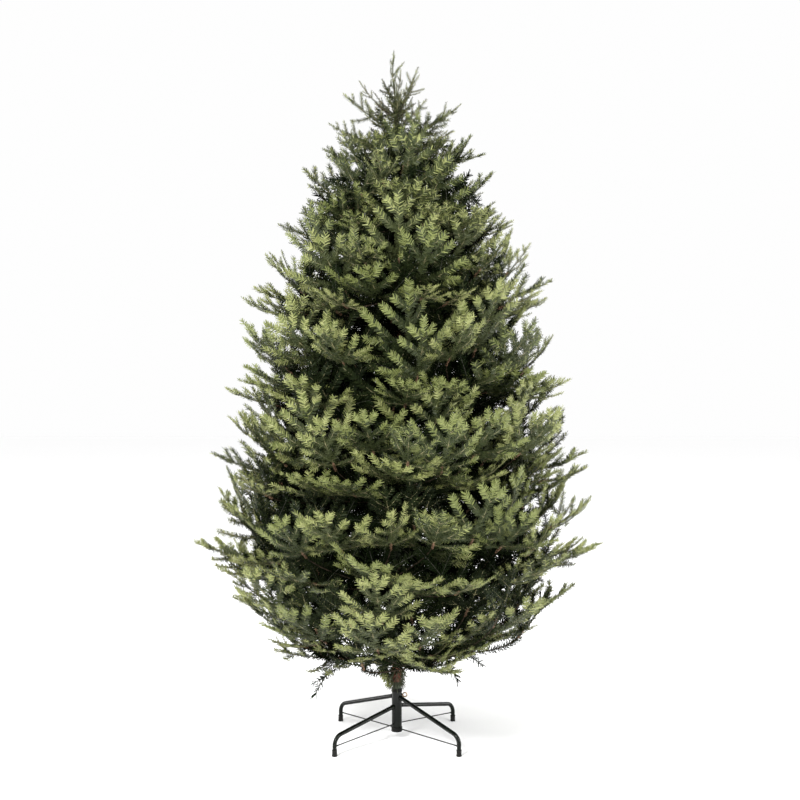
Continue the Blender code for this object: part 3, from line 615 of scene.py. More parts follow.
def fanOutline(length):
    # The five tips and four notches round the fan's centre, along and across the spray.
    tips = crown["fanTips"]
    side = []
    for (angle, reach), following in zip(tips, tips[1:] + (None,)):
        side.append((math.radians(angle), reach))
        if following:
            side.append((math.radians((angle + following[0]) / 2),
                         crown["fanNotch"] / 2 * (reach + following[1])))
    right = [((crown["fanCentre"] + reach * math.cos(angle)) * length,
              reach * math.sin(angle) * length) for angle, reach in side]
    return np.array(right + [(ahead, -aside) for ahead, aside in reversed(right[1:])])


def makeSpray(root, direction, roll, length):
    # A spray with the centre of its fan.
    direction = direction / np.linalg.norm(direction)
    return {"root": root, "direction": direction, "roll": math.radians(roll), "length": length,
            "centre": root + direction * (crown["fanCentre"] * length)}


def sprayAxes(spray):
    # Along the spray, across it (level, then turned by the roll) and square to its face.
    along = spray["direction"]
    across = np.cross(up, along)
    if np.linalg.norm(across) < 0.2:
        across = np.array((0.0, 1.0, 0.0))
    across = across / np.linalg.norm(across)
    cosine, sine = math.cos(spray["roll"]), math.sin(spray["roll"])
    across = (across * cosine + np.cross(along, across) * sine
              + along * (along @ across) * (1 - cosine))
    return along, across, np.cross(along, across)


def sprayFits(spray, space, others, spacing):
    # True where the fan lies inside the space and clear of the other sprays' centres.
    along, across = sprayAxes(spray)[:2]
    outline = fanOutline(spray["length"])
    points = spray["root"] + outline[:, :1] * along + outline[:, 1:] * across
    halves = (points + np.roll(points, -1, axis=0)) / 2
    if not insideSpace(np.concatenate([points, halves]), space).all():
        return False
    for other in others:
        gap = spacing / 2 * (spray["length"] + other["length"])
        if np.linalg.norm(other["centre"] - spray["centre"]) < gap:
            return False
    return True


def growStation(mass, plan, azimuth, part, rise, reaches, length, fitSpace, rng):
    # A spray whose tip stands at a part of the way between the tier's surfaces and at a part
    # of the reach, tried again smaller until it fits.
    for attempt in range(plan["tries"]):
        ease = 1 - plan["shrink"] * attempt
        size = length * ease * rng.uniform(*plan["sizes"])
        turn = azimuth + stray(rng, plan["turnStray"]) * (1 + plan["widen"] * attempt)
        tilt = rise + stray(rng, plan["tiltStray"])
        reach = rng.uniform(*reaches)
        level = part + stray(rng, plan["levelStray"])
        height, radius = meetReach(level, reach, turn, mass["space"], plan["firstRadius"])
        swerve = stray(rng, plan["headingStray"]) if plan["headingStray"] else 0
        direction = heading(turn + swerve, tilt)
        tip = polar(radius - plan["tipInset"], turn, height)
        roll = stray(rng, plan["roll"]) * (ease if plan["easedRoll"] else 1)
        spray = makeSpray(tip - direction * size, direction, roll, size)
        if sprayFits(spray, fitSpace, mass["sprays"], plan["spacing"]):
            mass["sprays"].append(spray)
            return


def squareTo(direction):
    # A direction square to another: its largest part at the two other places, and the sum of
    # its other two parts, negated, at its own place.
    axis = int(np.argmax(np.abs(direction)))
    result = np.full(3, direction[axis])
    result[axis] = -(direction.sum() - direction[axis])
    return result / np.linalg.norm(result)


def fillerPoints(start, direction, length):
    # Tip and four widest points of a filler twig.
    widest = start + direction * (filler["widest"] * length)
    side = squareTo(direction) * filler["radius"]
    across = np.cross(direction, side)
    return np.array([start + direction * length, widest + side, widest - side, widest + across,
                     widest - across])


def addFiller(mass, space, place, direction, length):
    # Keeps the filler twig, and says True, where it lies inside the space.
    fits = insideSpace(fillerPoints(place, direction, length), space).all()
    if fits:
        mass["fillers"].append((place, direction, length))
    return fits


def growFillers(mass, space, count, rng):
    # Slender twigs all round the inner part of the stem, by the golden angle.
    start, end = mass["stem"]
    along = (end - start) / np.linalg.norm(end - start)
    side = squareTo(along)
    lift = np.cross(along, side)
    roll = rng.uniform(0, 360)
    for number in range(count):
        place = start + (end - start) * (filler["run"][0] + filler["run"][1] * number / count)
        for attempt in range(filler["tries"]):
            roll += golden
            spread = math.radians(rng.uniform(*filler["spread"]))
            turn = math.radians(roll)
            around = side * math.cos(turn) + lift * math.sin(turn)
            direction = along * math.cos(spread) + around * math.sin(spread)
            length = filler["length"] * rng.uniform(*filler["sizes"])
            length *= 1 - filler["shrink"] * attempt
            if addFiller(mass, space, place, direction, length):
                break


def growHanging(mass, space, rng):
    # Twigs of the lowest masses that droop below the crown's level underside.
    start, end = mass["stem"]
    along = (end - start) / np.linalg.norm(end - start)
    side = np.cross(up, along)
    below = dict(space, low=(crown["profile"][0][0], 0.0))
    for part, sign in hanging["places"]:
        for attempt in range(hanging["tries"]):
            aim = along * rng.uniform(*hanging["ahead"])
            aim = aim + side * (sign * rng.uniform(*hanging["aside"]))
            direction = aim - up * rng.uniform(*hanging["drop"])
            direction = direction / np.linalg.norm(direction)
            length = filler["length"] * rng.uniform(*hanging["sizes"])
            length *= 1 - hanging["shrink"] * attempt
            if addFiller(mass, below, start + (end - start) * part, direction, length):
                break


def growMass(tierNumber, number):
    # The stem runs from the bough or the pole to where its end spray meets the outline, with
    # two rows of sprays round the outside of its sector and fillers round the stem.
    tier = tiers[tierNumber]
    rng = random.Random(tier["seed"] + number)
    azimuth = tier["turn"] + 360 / tier["count"] * number
    space = {
        "azimuth": math.radians(azimuth), "half": math.pi / tier["count"],
        "low": crown["surfaces"][tierNumber], "high": crown["surfaces"][tierNumber + 1],
        "inner": pole["collarRadius"] + crown["limbMargin"], "limb": None,
    }
    along = heading(azimuth, tier["rise"])
    radius = crown["boughRadii"][0] if tier["bough"] else crown["stemRadii"][0]
    root = polar(pole["collarRadius"] + crown["clearance"] + radius * along[2], azimuth,
                 tier["collar"])
    boughEnd = root + along * tier["bough"]
    start = root
    if tier["bough"]:
        space["limb"] = (root, boughEnd)
        start = boughEnd + along * crown["clearance"]
    run = 0.0
    point = start
    turn = math.radians(azimuth)
    while math.hypot(point[0], point[1]) < reachAt(point[2], turn) - crown["endInset"]:
        run += crown["stemStep"]
        point = start + along * run
    roll = stray(rng, crown["endRoll"])
    tip = makeSpray(start + along * (run - tier["spray"]), along, roll, tier["spray"])
    mass = {"tier": tier, "space": space, "bough": (root, boughEnd),
            "stem": (start, tip["centre"]), "sprays": [tip], "fillers": []}
    half = math.degrees(space["half"])
    for part, (count, rowRise) in zip(crown["rowParts"], tier["rows"]):
        for station in range(count):
            turn = azimuth + half * ((2 * station + 1) / count - 1) * crown["rowWidth"]
            growStation(mass, stations, turn, part, rowRise, stations["tipReach"], tier["spray"],
                        space, rng)
    growFillers(mass, space, filler["count"], rng)
    if tierNumber == 0 and number % 2 == 0:
        growHanging(mass, space, rng)
    return mass


def growLeader():
    # The upright top: whorls of rising sprays, shorter upwards, and a top spray.
    rng = random.Random(leader["seed"])
    space = {"azimuth": 0.0, "half": math.pi, "low": crown["surfaces"][-1], "high": None,
             "inner": 0.0, "limb": None}
    start = np.array((0.0, 0.0, pole["top"] + crown["clearance"]))
    top = np.array((crown["leaderLean"], 0.0, crown["top"]))
    along = (top - start) / np.linalg.norm(top - start)
    tip = makeSpray(top - along * leader["spray"], along, crown["endRoll"], leader["spray"])
    mass = {"tier": None, "space": space, "bough": (start, start), "stem": (start, tip["centre"]),
            "sprays": [tip], "fillers": []}
    for whorl, (height, count, rise, length) in enumerate(leader["whorls"]):
        for number in range(count):
            azimuth = 360 / count * (number + 0.5 * (whorl % 2))
            for attempt in range(leader["tries"]):
                turn = azimuth + stray(rng, leader["turn"])
                tilt = rise + stray(rng, leader["tilt"])
                size = length * (1 - leader["shrink"] * attempt) * rng.uniform(*stations["sizes"])
                direction = heading(turn, tilt)
                level = height + stray(rng, leader["level"])
                radius = rng.uniform(*leader["reach"]) * float(reachAt(level, math.radians(turn)))
                root = polar(radius, turn, level) - direction * size
                spray = makeSpray(root, direction, stray(rng, stations["roll"]), size)
                if sprayFits(spray, space, mass["sprays"], stations["spacing"]):
                    mass["sprays"].append(spray)
                    break
    growFillers(mass, space, leader["fillers"], rng)
    return mass


def growCrown():
    # All masses of the rule, tier by tier from below, and the leader last.
    masses = [growMass(tierNumber, number)
              for tierNumber, tier in enumerate(tiers) for number in range(tier["count"])]
    masses.append(growLeader())
    sprays = sum(len(mass["sprays"]) for mass in masses)
    print("crown", len(masses), "masses", sprays, "sprays")
    return masses


# Curves: every stem, twig and shoot is a quadratic curve of three points

def curvePoints(curves, part):
    # (1 - t)^2 start + 2 t (1 - t) bend + t^2 end.
    part = np.asarray(part)[..., None]
    return ((1 - part) ** 2 * curves[..., 0, :] + 2 * part * (1 - part) * curves[..., 1, :]
            + part ** 2 * curves[..., 2, :])


def curveTangents(curves, part):
    # Direction of (1 - t) (bend - start) + t (end - bend).
    part = np.asarray(part)[..., None]
    return unit((1 - part) * (curves[..., 1, :] - curves[..., 0, :])
                + part * (curves[..., 2, :] - curves[..., 1, :]))


def curveLengths(curves):
    # Nearly the length: two thirds of the chord + one third of the two sides.
    chord = np.linalg.norm(curves[:, 2] - curves[:, 0], axis=1)
    sides = (np.linalg.norm(curves[:, 1] - curves[:, 0], axis=1)
             + np.linalg.norm(curves[:, 2] - curves[:, 1], axis=1))
    return (2 * chord + sides) / 3


def curvePaths(curves, rings):
    # Points of each curve at equal steps of t.
    return curvePoints(curves[:, None], np.linspace(0, 1, rings)[None, :])


def strewAlong(lengths, spacing, bare=0.0):
    # Splits every length, but for its bare start, into steps: the owner of each step, its
    # number there, and its part of the way.
    bare = np.minimum(bare / lengths, 0.5)
    counts = np.maximum(np.round(lengths * (1 - bare) / spacing).astype(int), 1)
    owner = np.repeat(np.arange(len(counts)), counts)
    number = np.arange(len(owner)) - np.repeat(np.cumsum(counts) - counts, counts)
    return owner, number, bare[owner] + (1 - bare[owner]) * (number + 0.5) / counts[owner]


def branchOff(parents, faces, owner, station, angle, length, lift, bow):
    # Shoots that leave their parents' curves at a station and an angle in the plane of the
    # spray, tilted out of it by lift. Each bends forwards and up by bow times its length.
    tangent = curveTangents(parents[owner], station)
    face = squared(faces[owner], tangent)
    outward = unit(swing(tangent, np.cross(face, tangent), angle) + face * lift[:, None])
    start = curvePoints(parents[owner], station)
    end = start + outward * length[:, None]
    bend = start + outward * length[:, None] / 2 - (tangent * 0.5 + face) * (bow * length[:, None])
    return np.stack([start, bend, end], axis=1), face


# Sprays between those of the rule: the same rule's stations, further in, across the surfaces

innerSprays = {
    # part of the way up between the tier's surfaces, how many, rise, reach and size
    "rows": ((1.12, 2, 56, (0.83, 0.93), 1.10), (0.50, 2, 54, (0.62, 0.76), 1.04),
             (1.28, 2, 60, (0.72, 0.84), 1.06)),
    # how far the sprays may pass the tier's surfaces
    "below": 0.10, "above": 0.16, "seed": 64,
    # the same values as for the rule's stations
    "turnStray": 8, "tiltStray": 12, "headingStray": 12, "levelStray": 0.24, "roll": 30,
    "tries": 8, "shrink": 0.05, "widen": 0, "easedRoll": False, "sizes": (0.92, 1.08),
    "tipInset": 0, "firstRadius": 0.4, "spacing": 0.42,
    # on the leader: how many, heights, rises and lengths from the lowest to the highest, and
    # the root's distance from the axis
    "leaderCount": 24, "leaderHeights": (1.735, 1.965), "leaderRises": (24, 60),
    "leaderLengths": (0.160, 0.080), "leaderRoot": 0.012, "leaderSizes": (0.85, 1.1),
    "leaderTurn": 15, "leaderTilt": 10, "leaderRoll": 60,
}


def growInnerSprays(masses):
    # Stands a spray at each station of the inner rows where its fan stays within the reach.
    plan = innerSprays
    rng = random.Random(plan["seed"])
    for mass in masses:
        if not mass["tier"]:
            growLeaderSprays(mass, rng)
            continue
        tier, space = mass["tier"], mass["space"]
        low, high = space["low"], space["high"]
        loose = dict(space, low=(max(low[0] - plan["below"], crown["surfaces"][0][0]), low[1]),
                     high=(high[0] + plan["above"], high[1]), half=math.pi)
        half = math.degrees(space["half"])
        for level, count, rise, reaches, share in plan["rows"]:
            for station in range(count):
                azimuth = math.degrees(space["azimuth"]) + half * ((2 * station + 0.5) / count - 1)
                growStation(mass, plan, azimuth, level, rise, reaches, tier["spray"] * share, loose,
                            rng)
    print("with inner sprays", sum(len(mass["sprays"]) for mass in masses))


def growLeaderSprays(mass, rng):
    # Small sprays straight from the leader, by the golden angle, steeper and shorter upwards.
    plan = innerSprays
    for number in range(plan["leaderCount"]):
        part = number / (plan["leaderCount"] - 1)
        height, rise, length = [low + (high - low) * part for low, high in
                                (plan["leaderHeights"], plan["leaderRises"], plan["leaderLengths"])]
        turn = golden * number + stray(rng, plan["leaderTurn"])
        direction = heading(turn, rise + stray(rng, plan["leaderTilt"]))
        root = polar(plan["leaderRoot"], turn, height)
        length *= rng.uniform(*plan["leaderSizes"])
        mass["sprays"].append(makeSpray(root, direction, stray(rng, plan["leaderRoll"]), length))


# Sprays: a main shoot, side shoots at both sides, and fingers on the long ones

fullSpray = {
    # place on the main shoot, angle from it, length, all for a spray of length 1
    "sides": ((0.12, 43, 0.84), (0.05, 76, 0.58), (0.46, 46, 0.46), (0.70, 40, 0.29)),
    # of the first two of those: place, angle away from the main shoot, length
    "fingers": (((0.42, 42, 0.32),), ((0.46, 42, 0.25),)),
    "lift": (-0.05, 0.50),
}
slimSpray = {
    "sides": ((0.22, 46, 0.52), (0.46, 42, 0.40), (0.70, 38, 0.24)),
    "fingers": ((), ()),
    "lift": (-0.6, 0.8),
}
spraying = {
    "angleJitter": 7, "placeJitter": 0.02, "lengthJitter": 0.07, "bow": 0.13, "mainBow": 0.6,
    "shortest": 0.024, "tipRoom": 0.005, "seed": 11, "places": (0.01, 0.99),
}


def growShoots(sprays, plan, rng):
    # All shoots of the sprays at once: the main shoots first, then the side shoots, then the
    # fingers. Returns their curves, faces, spray numbers and rank (0 main, 1 side, 2 finger).
    axes = [sprayAxes(spray) for spray in sprays]
    roots = np.array([spray["root"] for spray in sprays])
    lengths = np.array([spray["length"] for spray in sprays])
    along = np.array([axis[0] for axis in axes])
    faces = np.array([axis[2] for axis in axes])
    faces *= np.where(faces[:, 2:] < 0, -1, 1)
    bow = spraying["bow"]
    reach = (lengths - spraying["tipRoom"])[:, None]
    mains = np.stack([roots, roots + along * reach / 2 - faces * reach * bow * spraying["mainBow"],
                      roots + along * reach], axis=1)

    def offshoots(parents, parentFaces, owner, station, angle, size):
        total = len(owner)
        station = station + rng.uniform(-1, 1, total) * spraying["placeJitter"]
        angle = np.radians(angle + rng.uniform(-1, 1, total) * spraying["angleJitter"])
        size = size * (1 - rng.uniform(0, 2, total) * spraying["lengthJitter"])
        lift = rng.uniform(*plan["lift"], total)
        keep = size > spraying["shortest"]
        curves, own = branchOff(parents, parentFaces, owner[keep],
                                np.clip(station[keep], *spraying["places"]), angle[keep],
                                size[keep] - spraying["tipRoom"], lift[keep], bow)
        return curves, own, keep

    rows = np.array([(place, sign * angle, size, index) for index, (place, angle, size)
                     in enumerate(plan["sides"]) for sign in (1, -1)])
    owner = np.repeat(np.arange(len(sprays)), len(rows))
    row = np.tile(rows, (len(sprays), 1))
    sides, sideFaces, kept = offshoots(mains, faces, owner, row[:, 0], row[:, 1],
                                       row[:, 2] * lengths[owner])
    owner, row = owner[kept], row[kept]
    hosts, fingerRows = [], []
    for index, fingers in enumerate(plan["fingers"]):
        for place, angle, size in fingers:
            host = np.flatnonzero(row[:, 3] == index)
            hosts.append(host)
            fingerRows.append(np.stack([np.full(len(host), place), angle * np.sign(row[host, 1]),
                                        size * lengths[owner[host]]], axis=1))
    curves, spray = [mains, sides], [np.arange(len(sprays)), owner]
    allFaces, rank = [faces, sideFaces], [np.zeros(len(mains)), np.ones(len(sides))]
    if hosts:
        host, fingerRow = np.concatenate(hosts), np.concatenate(fingerRows)
        fingers, fingerFaces, kept = offshoots(sides, sideFaces, host, *fingerRow.T)
        curves.append(fingers)
        allFaces.append(fingerFaces)
        spray.append(owner[host[kept]])
        rank.append(np.full(len(fingers), 2))
    return [np.concatenate(part) for part in (curves, allFaces, spray, rank)]


def growAllShoots(masses, twigs):
    # The sprays' shoots, and plain ones that carry needles too: the leader, its twigs and the
    # shoots that hang at the pole's foot, each given once for every face it shows.
    rng = np.random.default_rng(spraying["seed"])
    full = [spray for mass in masses if mass["tier"] for spray in mass["sprays"]]
    slim = [spray for mass in masses if not mass["tier"] for spray in mass["sprays"]]
    first, second = growShoots(full, fullSpray, rng), growShoots(slim, slimSpray, rng)
    second[2] = second[2] + len(full)
    second[3] = second[3] * 0
    top = masses[-1]
    lines = [(top["stem"][0], top["sprays"][0]["root"], turn, len(full)) for turn in (0, 90, 180)]
    lines += [(twig[0], twig[2], turn, len(full)) for twig in twigs[1 - len(top["sprays"]):]
              for turn in (0, 90)]
    lines += [(polar(near, turn, high), polar(far, turn, low), face, 0)
              for turn, near, high, far, low in poleDress["hanging"] for face in (0, 90)]
    extra = [np.array([(line[0], (line[0] + line[1]) / 2, line[1]) for line in lines]),
             np.array([polar(1.0, line[2], 0.0) for line in lines]),
             np.array([line[3] for line in lines]), np.zeros(len(lines))]
    curves, faces, spray, rank = [np.concatenate(parts) for parts in zip(first, second, extra)]
    print("shoots", len(curves), "length", round(curveLengths(curves).sum()), "m")
    return {"curves": curves, "faces": faces, "spray": spray, "rank": rank,
            "lengths": curveLengths(curves), "sprays": full + slim}


# Needles: each is a blade of two triangles

def standBlades(plan, bases, tangents, sides, lifts, turn, lean, twist, lengths, widths, core=0):
    # Four corners of every blade. It leaves its base, or the surface of a core round it, at a
    # turn about the shoot, between the shoot's side and lift, and leans forwards. Its width is
    # the tangent made square to the blade, then turned about it by the twist. The plan's foot
    # and end are the parts of the width there, and its slant is the part of the length that
    # one side falls short.
    around = swing(sides, lifts, turn)
    directions = swing(tangents, around, lean)
    bases = bases + around * core
    flat = squared(tangents, directions)
    half = swing(flat, np.cross(directions, flat), twist) * (widths / 2)[:, None]
    tips = bases + directions * lengths[:, None]
    shorter = directions * (lengths * plan["slant"])[:, None]
    return np.stack([bases - half * plan["foot"], bases + half * plan["foot"],
                     tips + half * plan["end"], tips - shorter - half * plan["end"]], axis=1)


def keepBlades(name, blades, material):
    # The piece made of these blades, each of two triangles.
    first = np.arange(len(blades))[:, None, None] * 4
    faces = (first + np.array(((0, 1, 2), (0, 2, 3)))).reshape(-1, 3)
    item = buildPiece(name, blades.reshape(-1, 3), [faces], material, "needles")
    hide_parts(*foliageNodes)


lightNeedles = {
    "spacing": 0.00085, "length": (0.0108, 0.0190), "widthPart": 0.160, "lean": 58, "leanTip": 32,
    "blunt": 0.008, "foot": 1.0, "end": 0.6, "slant": 0.1, "bare": 0.008, "lengthPart": 0.087,
    "tipLength": 0.82, "leanJitter": 5, "roughness": 0.48,
    # turns about the shoot, 0 and 180 in the plane of the spray and 90 above it, where the
    # needles are this part shorter
    "turns": (-8, 188, 20, 160, 58, 122), "turnJitter": 12, "twist": 32, "upright": 0.30,
    # side shoots shorter than this count as fingers
    "short": 0.06,
    "lengthJitter": 0.07, "seed": 21,
    # on sprays in painted shade the needles are this part further apart and wider
    "coarse": 0.8,
    # from the first height to the second the needles get shorter, and fewer of them bright, a
    # painted shade that makes the top read darker
    "shorter": (1.75, 1.98, 0.20), "fewerBrightAsShade": (1.20, 1.80, 0.62),
    # part of a main, long or short shoot where the bright needles begin and where all are
    "brightening": ((0.58, 0.90), (0.48, 0.86), (0.06, 0.68)),
    # sprays whose tip lies less than the first distance inside the reach are all lit, and
    # those further in than the second are all in painted shade; this part of the lit ones is
    # plainer, with this share of the bright needles
    "lightDepth": (0.072, 0.125), "plainer": (0.18, 0.30),
    # gloss and shades of each kind: bright for the needles towards the tips, middle for the rest
    # of a lit spray, and paintedShade, a darker copy of the middle ones painted as the shade deep
    # in the crown
    "bright": (0.32, ((110, 117, 65), (96, 104, 54), (131, 135, 83))),
    "middle": (0.20, ((52, 59, 31), (44, 52, 27), (61, 67, 38))),
    "paintedShade": (0.05, ((24, 31, 14), (18, 25, 11), (31, 38, 18))),
}
darkNeedles = {
    "width": 0.0023, "lean": 56, "leanTip": 28, "leanJitter": 8, "foot": 1.0, "end": 0.8,
    "slant": 0.1, "blunt": 0.03, "core": 0.001, "roughness": 0.6,
    # inside this part of the reach the needles are this much wider and further apart, and longer
    "inner": (0.56, 1.55, 1.2),
    "turnJitter": 0.3, "twist": 70, "lengthJitter": 0.18, "seed": 31,
    # spacing and length of the needles on dark twigs, stems, boughs and the sprays' twigs
    "brushes": ((0.00110, 0.0205), (0.00060, 0.020), (0.00055, 0.015), (0.00095, 0.018)),
    # part of the bough's length where its needles begin
    "boughFrom": 0.6,
    # colour and gloss of each shade, the darker ones further in as painted shade, and where the
    # next begins, as a part of the reach
    "shades": (((9, 13, 5), 0.0), ((13, 18, 8), 0.0), ((18, 26, 11), 0.02), ((30, 38, 19), 0.05)),
    "outward": (0.32, 0.54, 0.78), "outwardJitter": 0.12,
}


def smoothStep(value, low, high):
    # 3 t^2 - 2 t^3, where t is the part of the way from low to high.
    part = np.clip((value - low) / (high - low), 0, 1)
    return part * part * (3 - 2 * part)


def growLightNeedles(shoots):
    # Needles in pairs to both sides and above along every shoot. A spray is lit or in painted
    # shade by how deep its tip lies, and a lit one has bright needles towards the ends of its shoots.
    plan = lightNeedles
    rng = np.random.default_rng(plan["seed"])
    bare = np.where(shoots["rank"] == 0, 0.0, plan["bare"])
    tips = [spray["root"] + spray["direction"] * spray["length"] for spray in shoots["sprays"]]
    depth = [float(reachAt(tip[2], 0.0)) - math.hypot(tip[0], tip[1]) for tip in tips]
    # painted shade: the deeper a spray's tip lies in the crown, the likelier it is drawn in the darker
    # copy
    lit = rng.uniform(0, 1, len(tips)) < 1 - smoothStep(np.array(depth), *plan["lightDepth"])
    plainer = np.where(rng.uniform(0, 1, len(tips)) < plan["plainer"][0], plan["plainer"][1], 1.0)
    lit, plainer = lit[shoots["spray"]], plainer[shoots["spray"]]
    coarse = 1 + plan["coarse"] * ~lit
    owner, number, part = strewAlong(shoots["lengths"], plan["spacing"] * coarse, bare)
    curves = shoots["curves"][owner]
    bases = curvePoints(curves, part)
    tangents = curveTangents(curves, part)
    faces = squared(shoots["faces"][owner], tangents)
    total = len(owner)
    pattern = np.array(plan["turns"])
    turn = np.radians(pattern[number % len(pattern)] + rng.normal(0, plan["turnJitter"], total))
    toTip = np.clip((1 - part) * shoots["lengths"][owner] / plan["blunt"], 0, 1)
    lean = plan["leanTip"] + (plan["lean"] - plan["leanTip"]) * toTip
    lean = np.radians(lean + rng.normal(0, plan["leanJitter"], total))
    sprayLengths = np.array([spray["length"] for spray in shoots["sprays"]])
    lengths = np.clip(sprayLengths * plan["lengthPart"], *plan["length"])[shoots["spray"][owner]]
    lengths = lengths * (1 - rng.uniform(0, 2, total) * plan["lengthJitter"])
    lengths = lengths * (plan["tipLength"] + (1 - plan["tipLength"]) * toTip)
    low, high, change = plan["shorter"]
    lengths = lengths * (1 - change * smoothStep(bases[:, 2], low, high))
    widths = lengths * plan["widthPart"] * coarse[owner]
    lengths = lengths * (1 - plan["upright"] * np.abs(np.sin(turn)))
    twist = np.radians(rng.uniform(-1, 1, total) * plan["twist"])
    blades = standBlades(plan, bases, tangents, np.cross(faces, tangents), faces, turn, lean, twist,
                         lengths, widths)
    short = (shoots["rank"] == 1) & (shoots["lengths"] < plan["short"])
    rank = np.where(short, 2, shoots["rank"]).astype(int)
    begin, whole = np.array(plan["brightening"])[rank[owner]].T
    light = lit[owner]
    # painted shade: the top gets fewer bright needles, so it reads darker
    low, high, change = plan["fewerBrightAsShade"]
    chance = smoothStep(part, begin, whole) * (1 - change * smoothStep(bases[:, 2], low, high))
    chance *= plainer[owner]
    bright = light & (rng.uniform(0, 1, total) < chance)
    shades = len(plan["bright"][1])
    shadeOf = rng.integers(0, shades, len(shoots["sprays"]))
    shade = (shadeOf[shoots["spray"][owner]] + rng.integers(0, 2, total)) % shades
    # middle needles are the lit copy and paintedShade needles the painted-shade copy of the same green
    for kind, chosen in (("bright", bright), ("middle", light & ~bright), ("paintedShade", ~light)):
        gloss, colours = plan[kind]
        for index, colour in enumerate(colours):
            paint = plainMaterial(f"{kind}Needle.{index + 1}", linear(colour), plan["roughness"],
                                  0.0, gloss)
            keepBlades(f"{kind}Needles.{index + 1}", blades[chosen & (shade == index)], paint)


# Dark twigs: bottle brushes of cut film that fill the crown behind the sprays

darkTwigs = {
    "candidates": 1300, "generations": ((32, 0.075), (66, 0.056)), "lengths": (0.100, 0.160),
    # the gap between twigs at the pole and at the crown's outline, as parts of the above
    "gapParts": (0.78, 1.20),
    "spread": (30, 90), "reach": 0.72, "leaderReach": 0.55, "sprayRoom": 0.035, "droop": 0.06,
    "seed": 41, "radius": 0.0011, "highest": 1.76, "leastReach": 0.05,
    # where along its carrier a twig may leave it
    "along": (0.02, 1.0),
}


def sideways(tangents):
    # Two directions square to each tangent and to each other.
    flat = np.abs(tangents[:, 2:]) < 0.9
    side = unit(np.cross(tangents, np.where(flat, up, (1.0, 0.0, 0.0))))
    return side, np.cross(side, tangents)


def outwardPart(points):
    # Distance from the pole as a part of the crown's reach there.
    reach = [float(reachAt(point[2], 0.0)) for point in points]
    return np.hypot(points[:, 0], points[:, 1]) / np.maximum(reach, darkTwigs["leastReach"])


def growDarkTwigs(masses, hosts):
    # Candidates leave the mass's stem and twigs, and then the dark twigs too, at all angles;
    # of those inside the mass's space the one furthest from all that are chosen is taken,
    # until the gaps are narrow.
    plan = darkTwigs
    rng = np.random.default_rng(plan["seed"])
    result = []
    for mass, curves in zip(masses, hosts):
        own = [np.array((place, place + aim * size / 2, place + aim * size))
               for place, aim, size in mass["fillers"]]
        sprays = np.array([spray["centre"] for spray in mass["sprays"]])
        for most, gap in plan["generations"]:
            carriers = np.concatenate([curves, own]) if own else curves
            lengths = curveLengths(carriers)
            total = plan["candidates"]
            owner = rng.choice(len(carriers), total, p=lengths / lengths.sum())
            part = rng.uniform(*plan["along"], total)
            start = curvePoints(carriers[owner], part)
            tangent = curveTangents(carriers[owner], part)
            spread = np.radians(rng.uniform(*plan["spread"], total))
            turn = rng.uniform(0, 2 * math.pi, total)
            direction = swing(tangent, swing(*sideways(tangent), turn), spread)
            end = start + direction * rng.uniform(*plan["lengths"], total)[:, None]
            reach = plan["reach"] if mass["tier"] else plan["leaderReach"]
            fits = insideSpace(end / (reach, reach, 1.0), mass["space"])
            fits &= (end[:, 2] < plan["highest"]) & insideSpace((start + end) / 2, mass["space"])
            start, end = start[fits], end[fits]
            middle = (start + end) / 2
            if not len(middle):
                continue
            gapPart = np.interp(outwardPart(middle), (0, 1), plan["gapParts"])
            nearest = np.linalg.norm(middle[:, None] - sprays, axis=2).min(1) + plan["sprayRoom"]
            nearest /= gapPart
            for curve in own:
                nearest = np.minimum(nearest, np.linalg.norm(middle - curve[1], axis=1) / gapPart)
            for step in range(most):
                pick = int(np.argmax(nearest))
                if nearest[pick] < gap:
                    break
                bend = middle[pick] + up * plan["droop"] * np.linalg.norm(end[pick] - start[pick])
                own.append(np.array((start[pick], bend, end[pick])))
                away = np.linalg.norm(middle - middle[pick], axis=1) / gapPart
                nearest = np.minimum(nearest, away)
        result.extend(own)
    print("dark twigs", len(result))
    return np.array(result)


def brushNeedles(curves, spacing, size, width, core, rng):
    # Needles all round the curves by the golden angle, leaning forwards from the surface of
    # the core. Returns the curve of each and its blade.
    plan = darkNeedles
    lengths = curveLengths(curves)
    owner, number, part = strewAlong(lengths, spacing)
    tangents = curveTangents(curves[owner], part)
    total = len(owner)
    sides, lifts = sideways(tangents)
    turn = np.radians(number * golden) + rng.normal(0, plan["turnJitter"], total)
    toTip = np.clip((1 - part) * lengths[owner] / plan["blunt"], 0, 1)
    lean = plan["leanTip"] + (plan["lean"] - plan["leanTip"]) * toTip
    lean = np.radians(lean + rng.normal(0, plan["leanJitter"], total))
    length = np.broadcast_to(size, len(curves))[owner]
    length = length * (1 - rng.uniform(0, 2, total) * plan["lengthJitter"])
    twist = np.radians(rng.uniform(-1, 1, total) * plan["twist"])
    width = np.broadcast_to(width, len(curves))[owner]
    return owner, standBlades(plan, curvePoints(curves[owner], part), tangents, sides, lifts, turn,
                              lean, twist, length, width, core)


def growTwigCurves(masses):
    # One curve from the stem to the root of every spray, arriving along the spray.
    hosts, twigs = [], []
    for mass in masses:
        start, end = mass["stem"]
        along = (end - start) / np.linalg.norm(end - start)
        own = [np.array((start, (start + end) / 2, end))]
        for spray in mass["sprays"][1:]:
            ahead = (spray["root"] - start) @ along
            aside = np.linalg.norm(spray["root"] - start - along * ahead)
            far = np.linalg.norm(end - start) * crown["twigSlope"]
            place = max(crown["twigFirst"], min(ahead - aside * crown["twigSlope"], far))
            place = start + along * place
            gap = np.linalg.norm(spray["root"] - place)
            bend = spray["root"] - spray["direction"] * gap * crown["twigBend"]
            twigs.append(np.array((place, bend, spray["root"])))
            own.append(twigs[-1])
        hosts.append(np.array(own))
    return hosts, np.array(twigs)


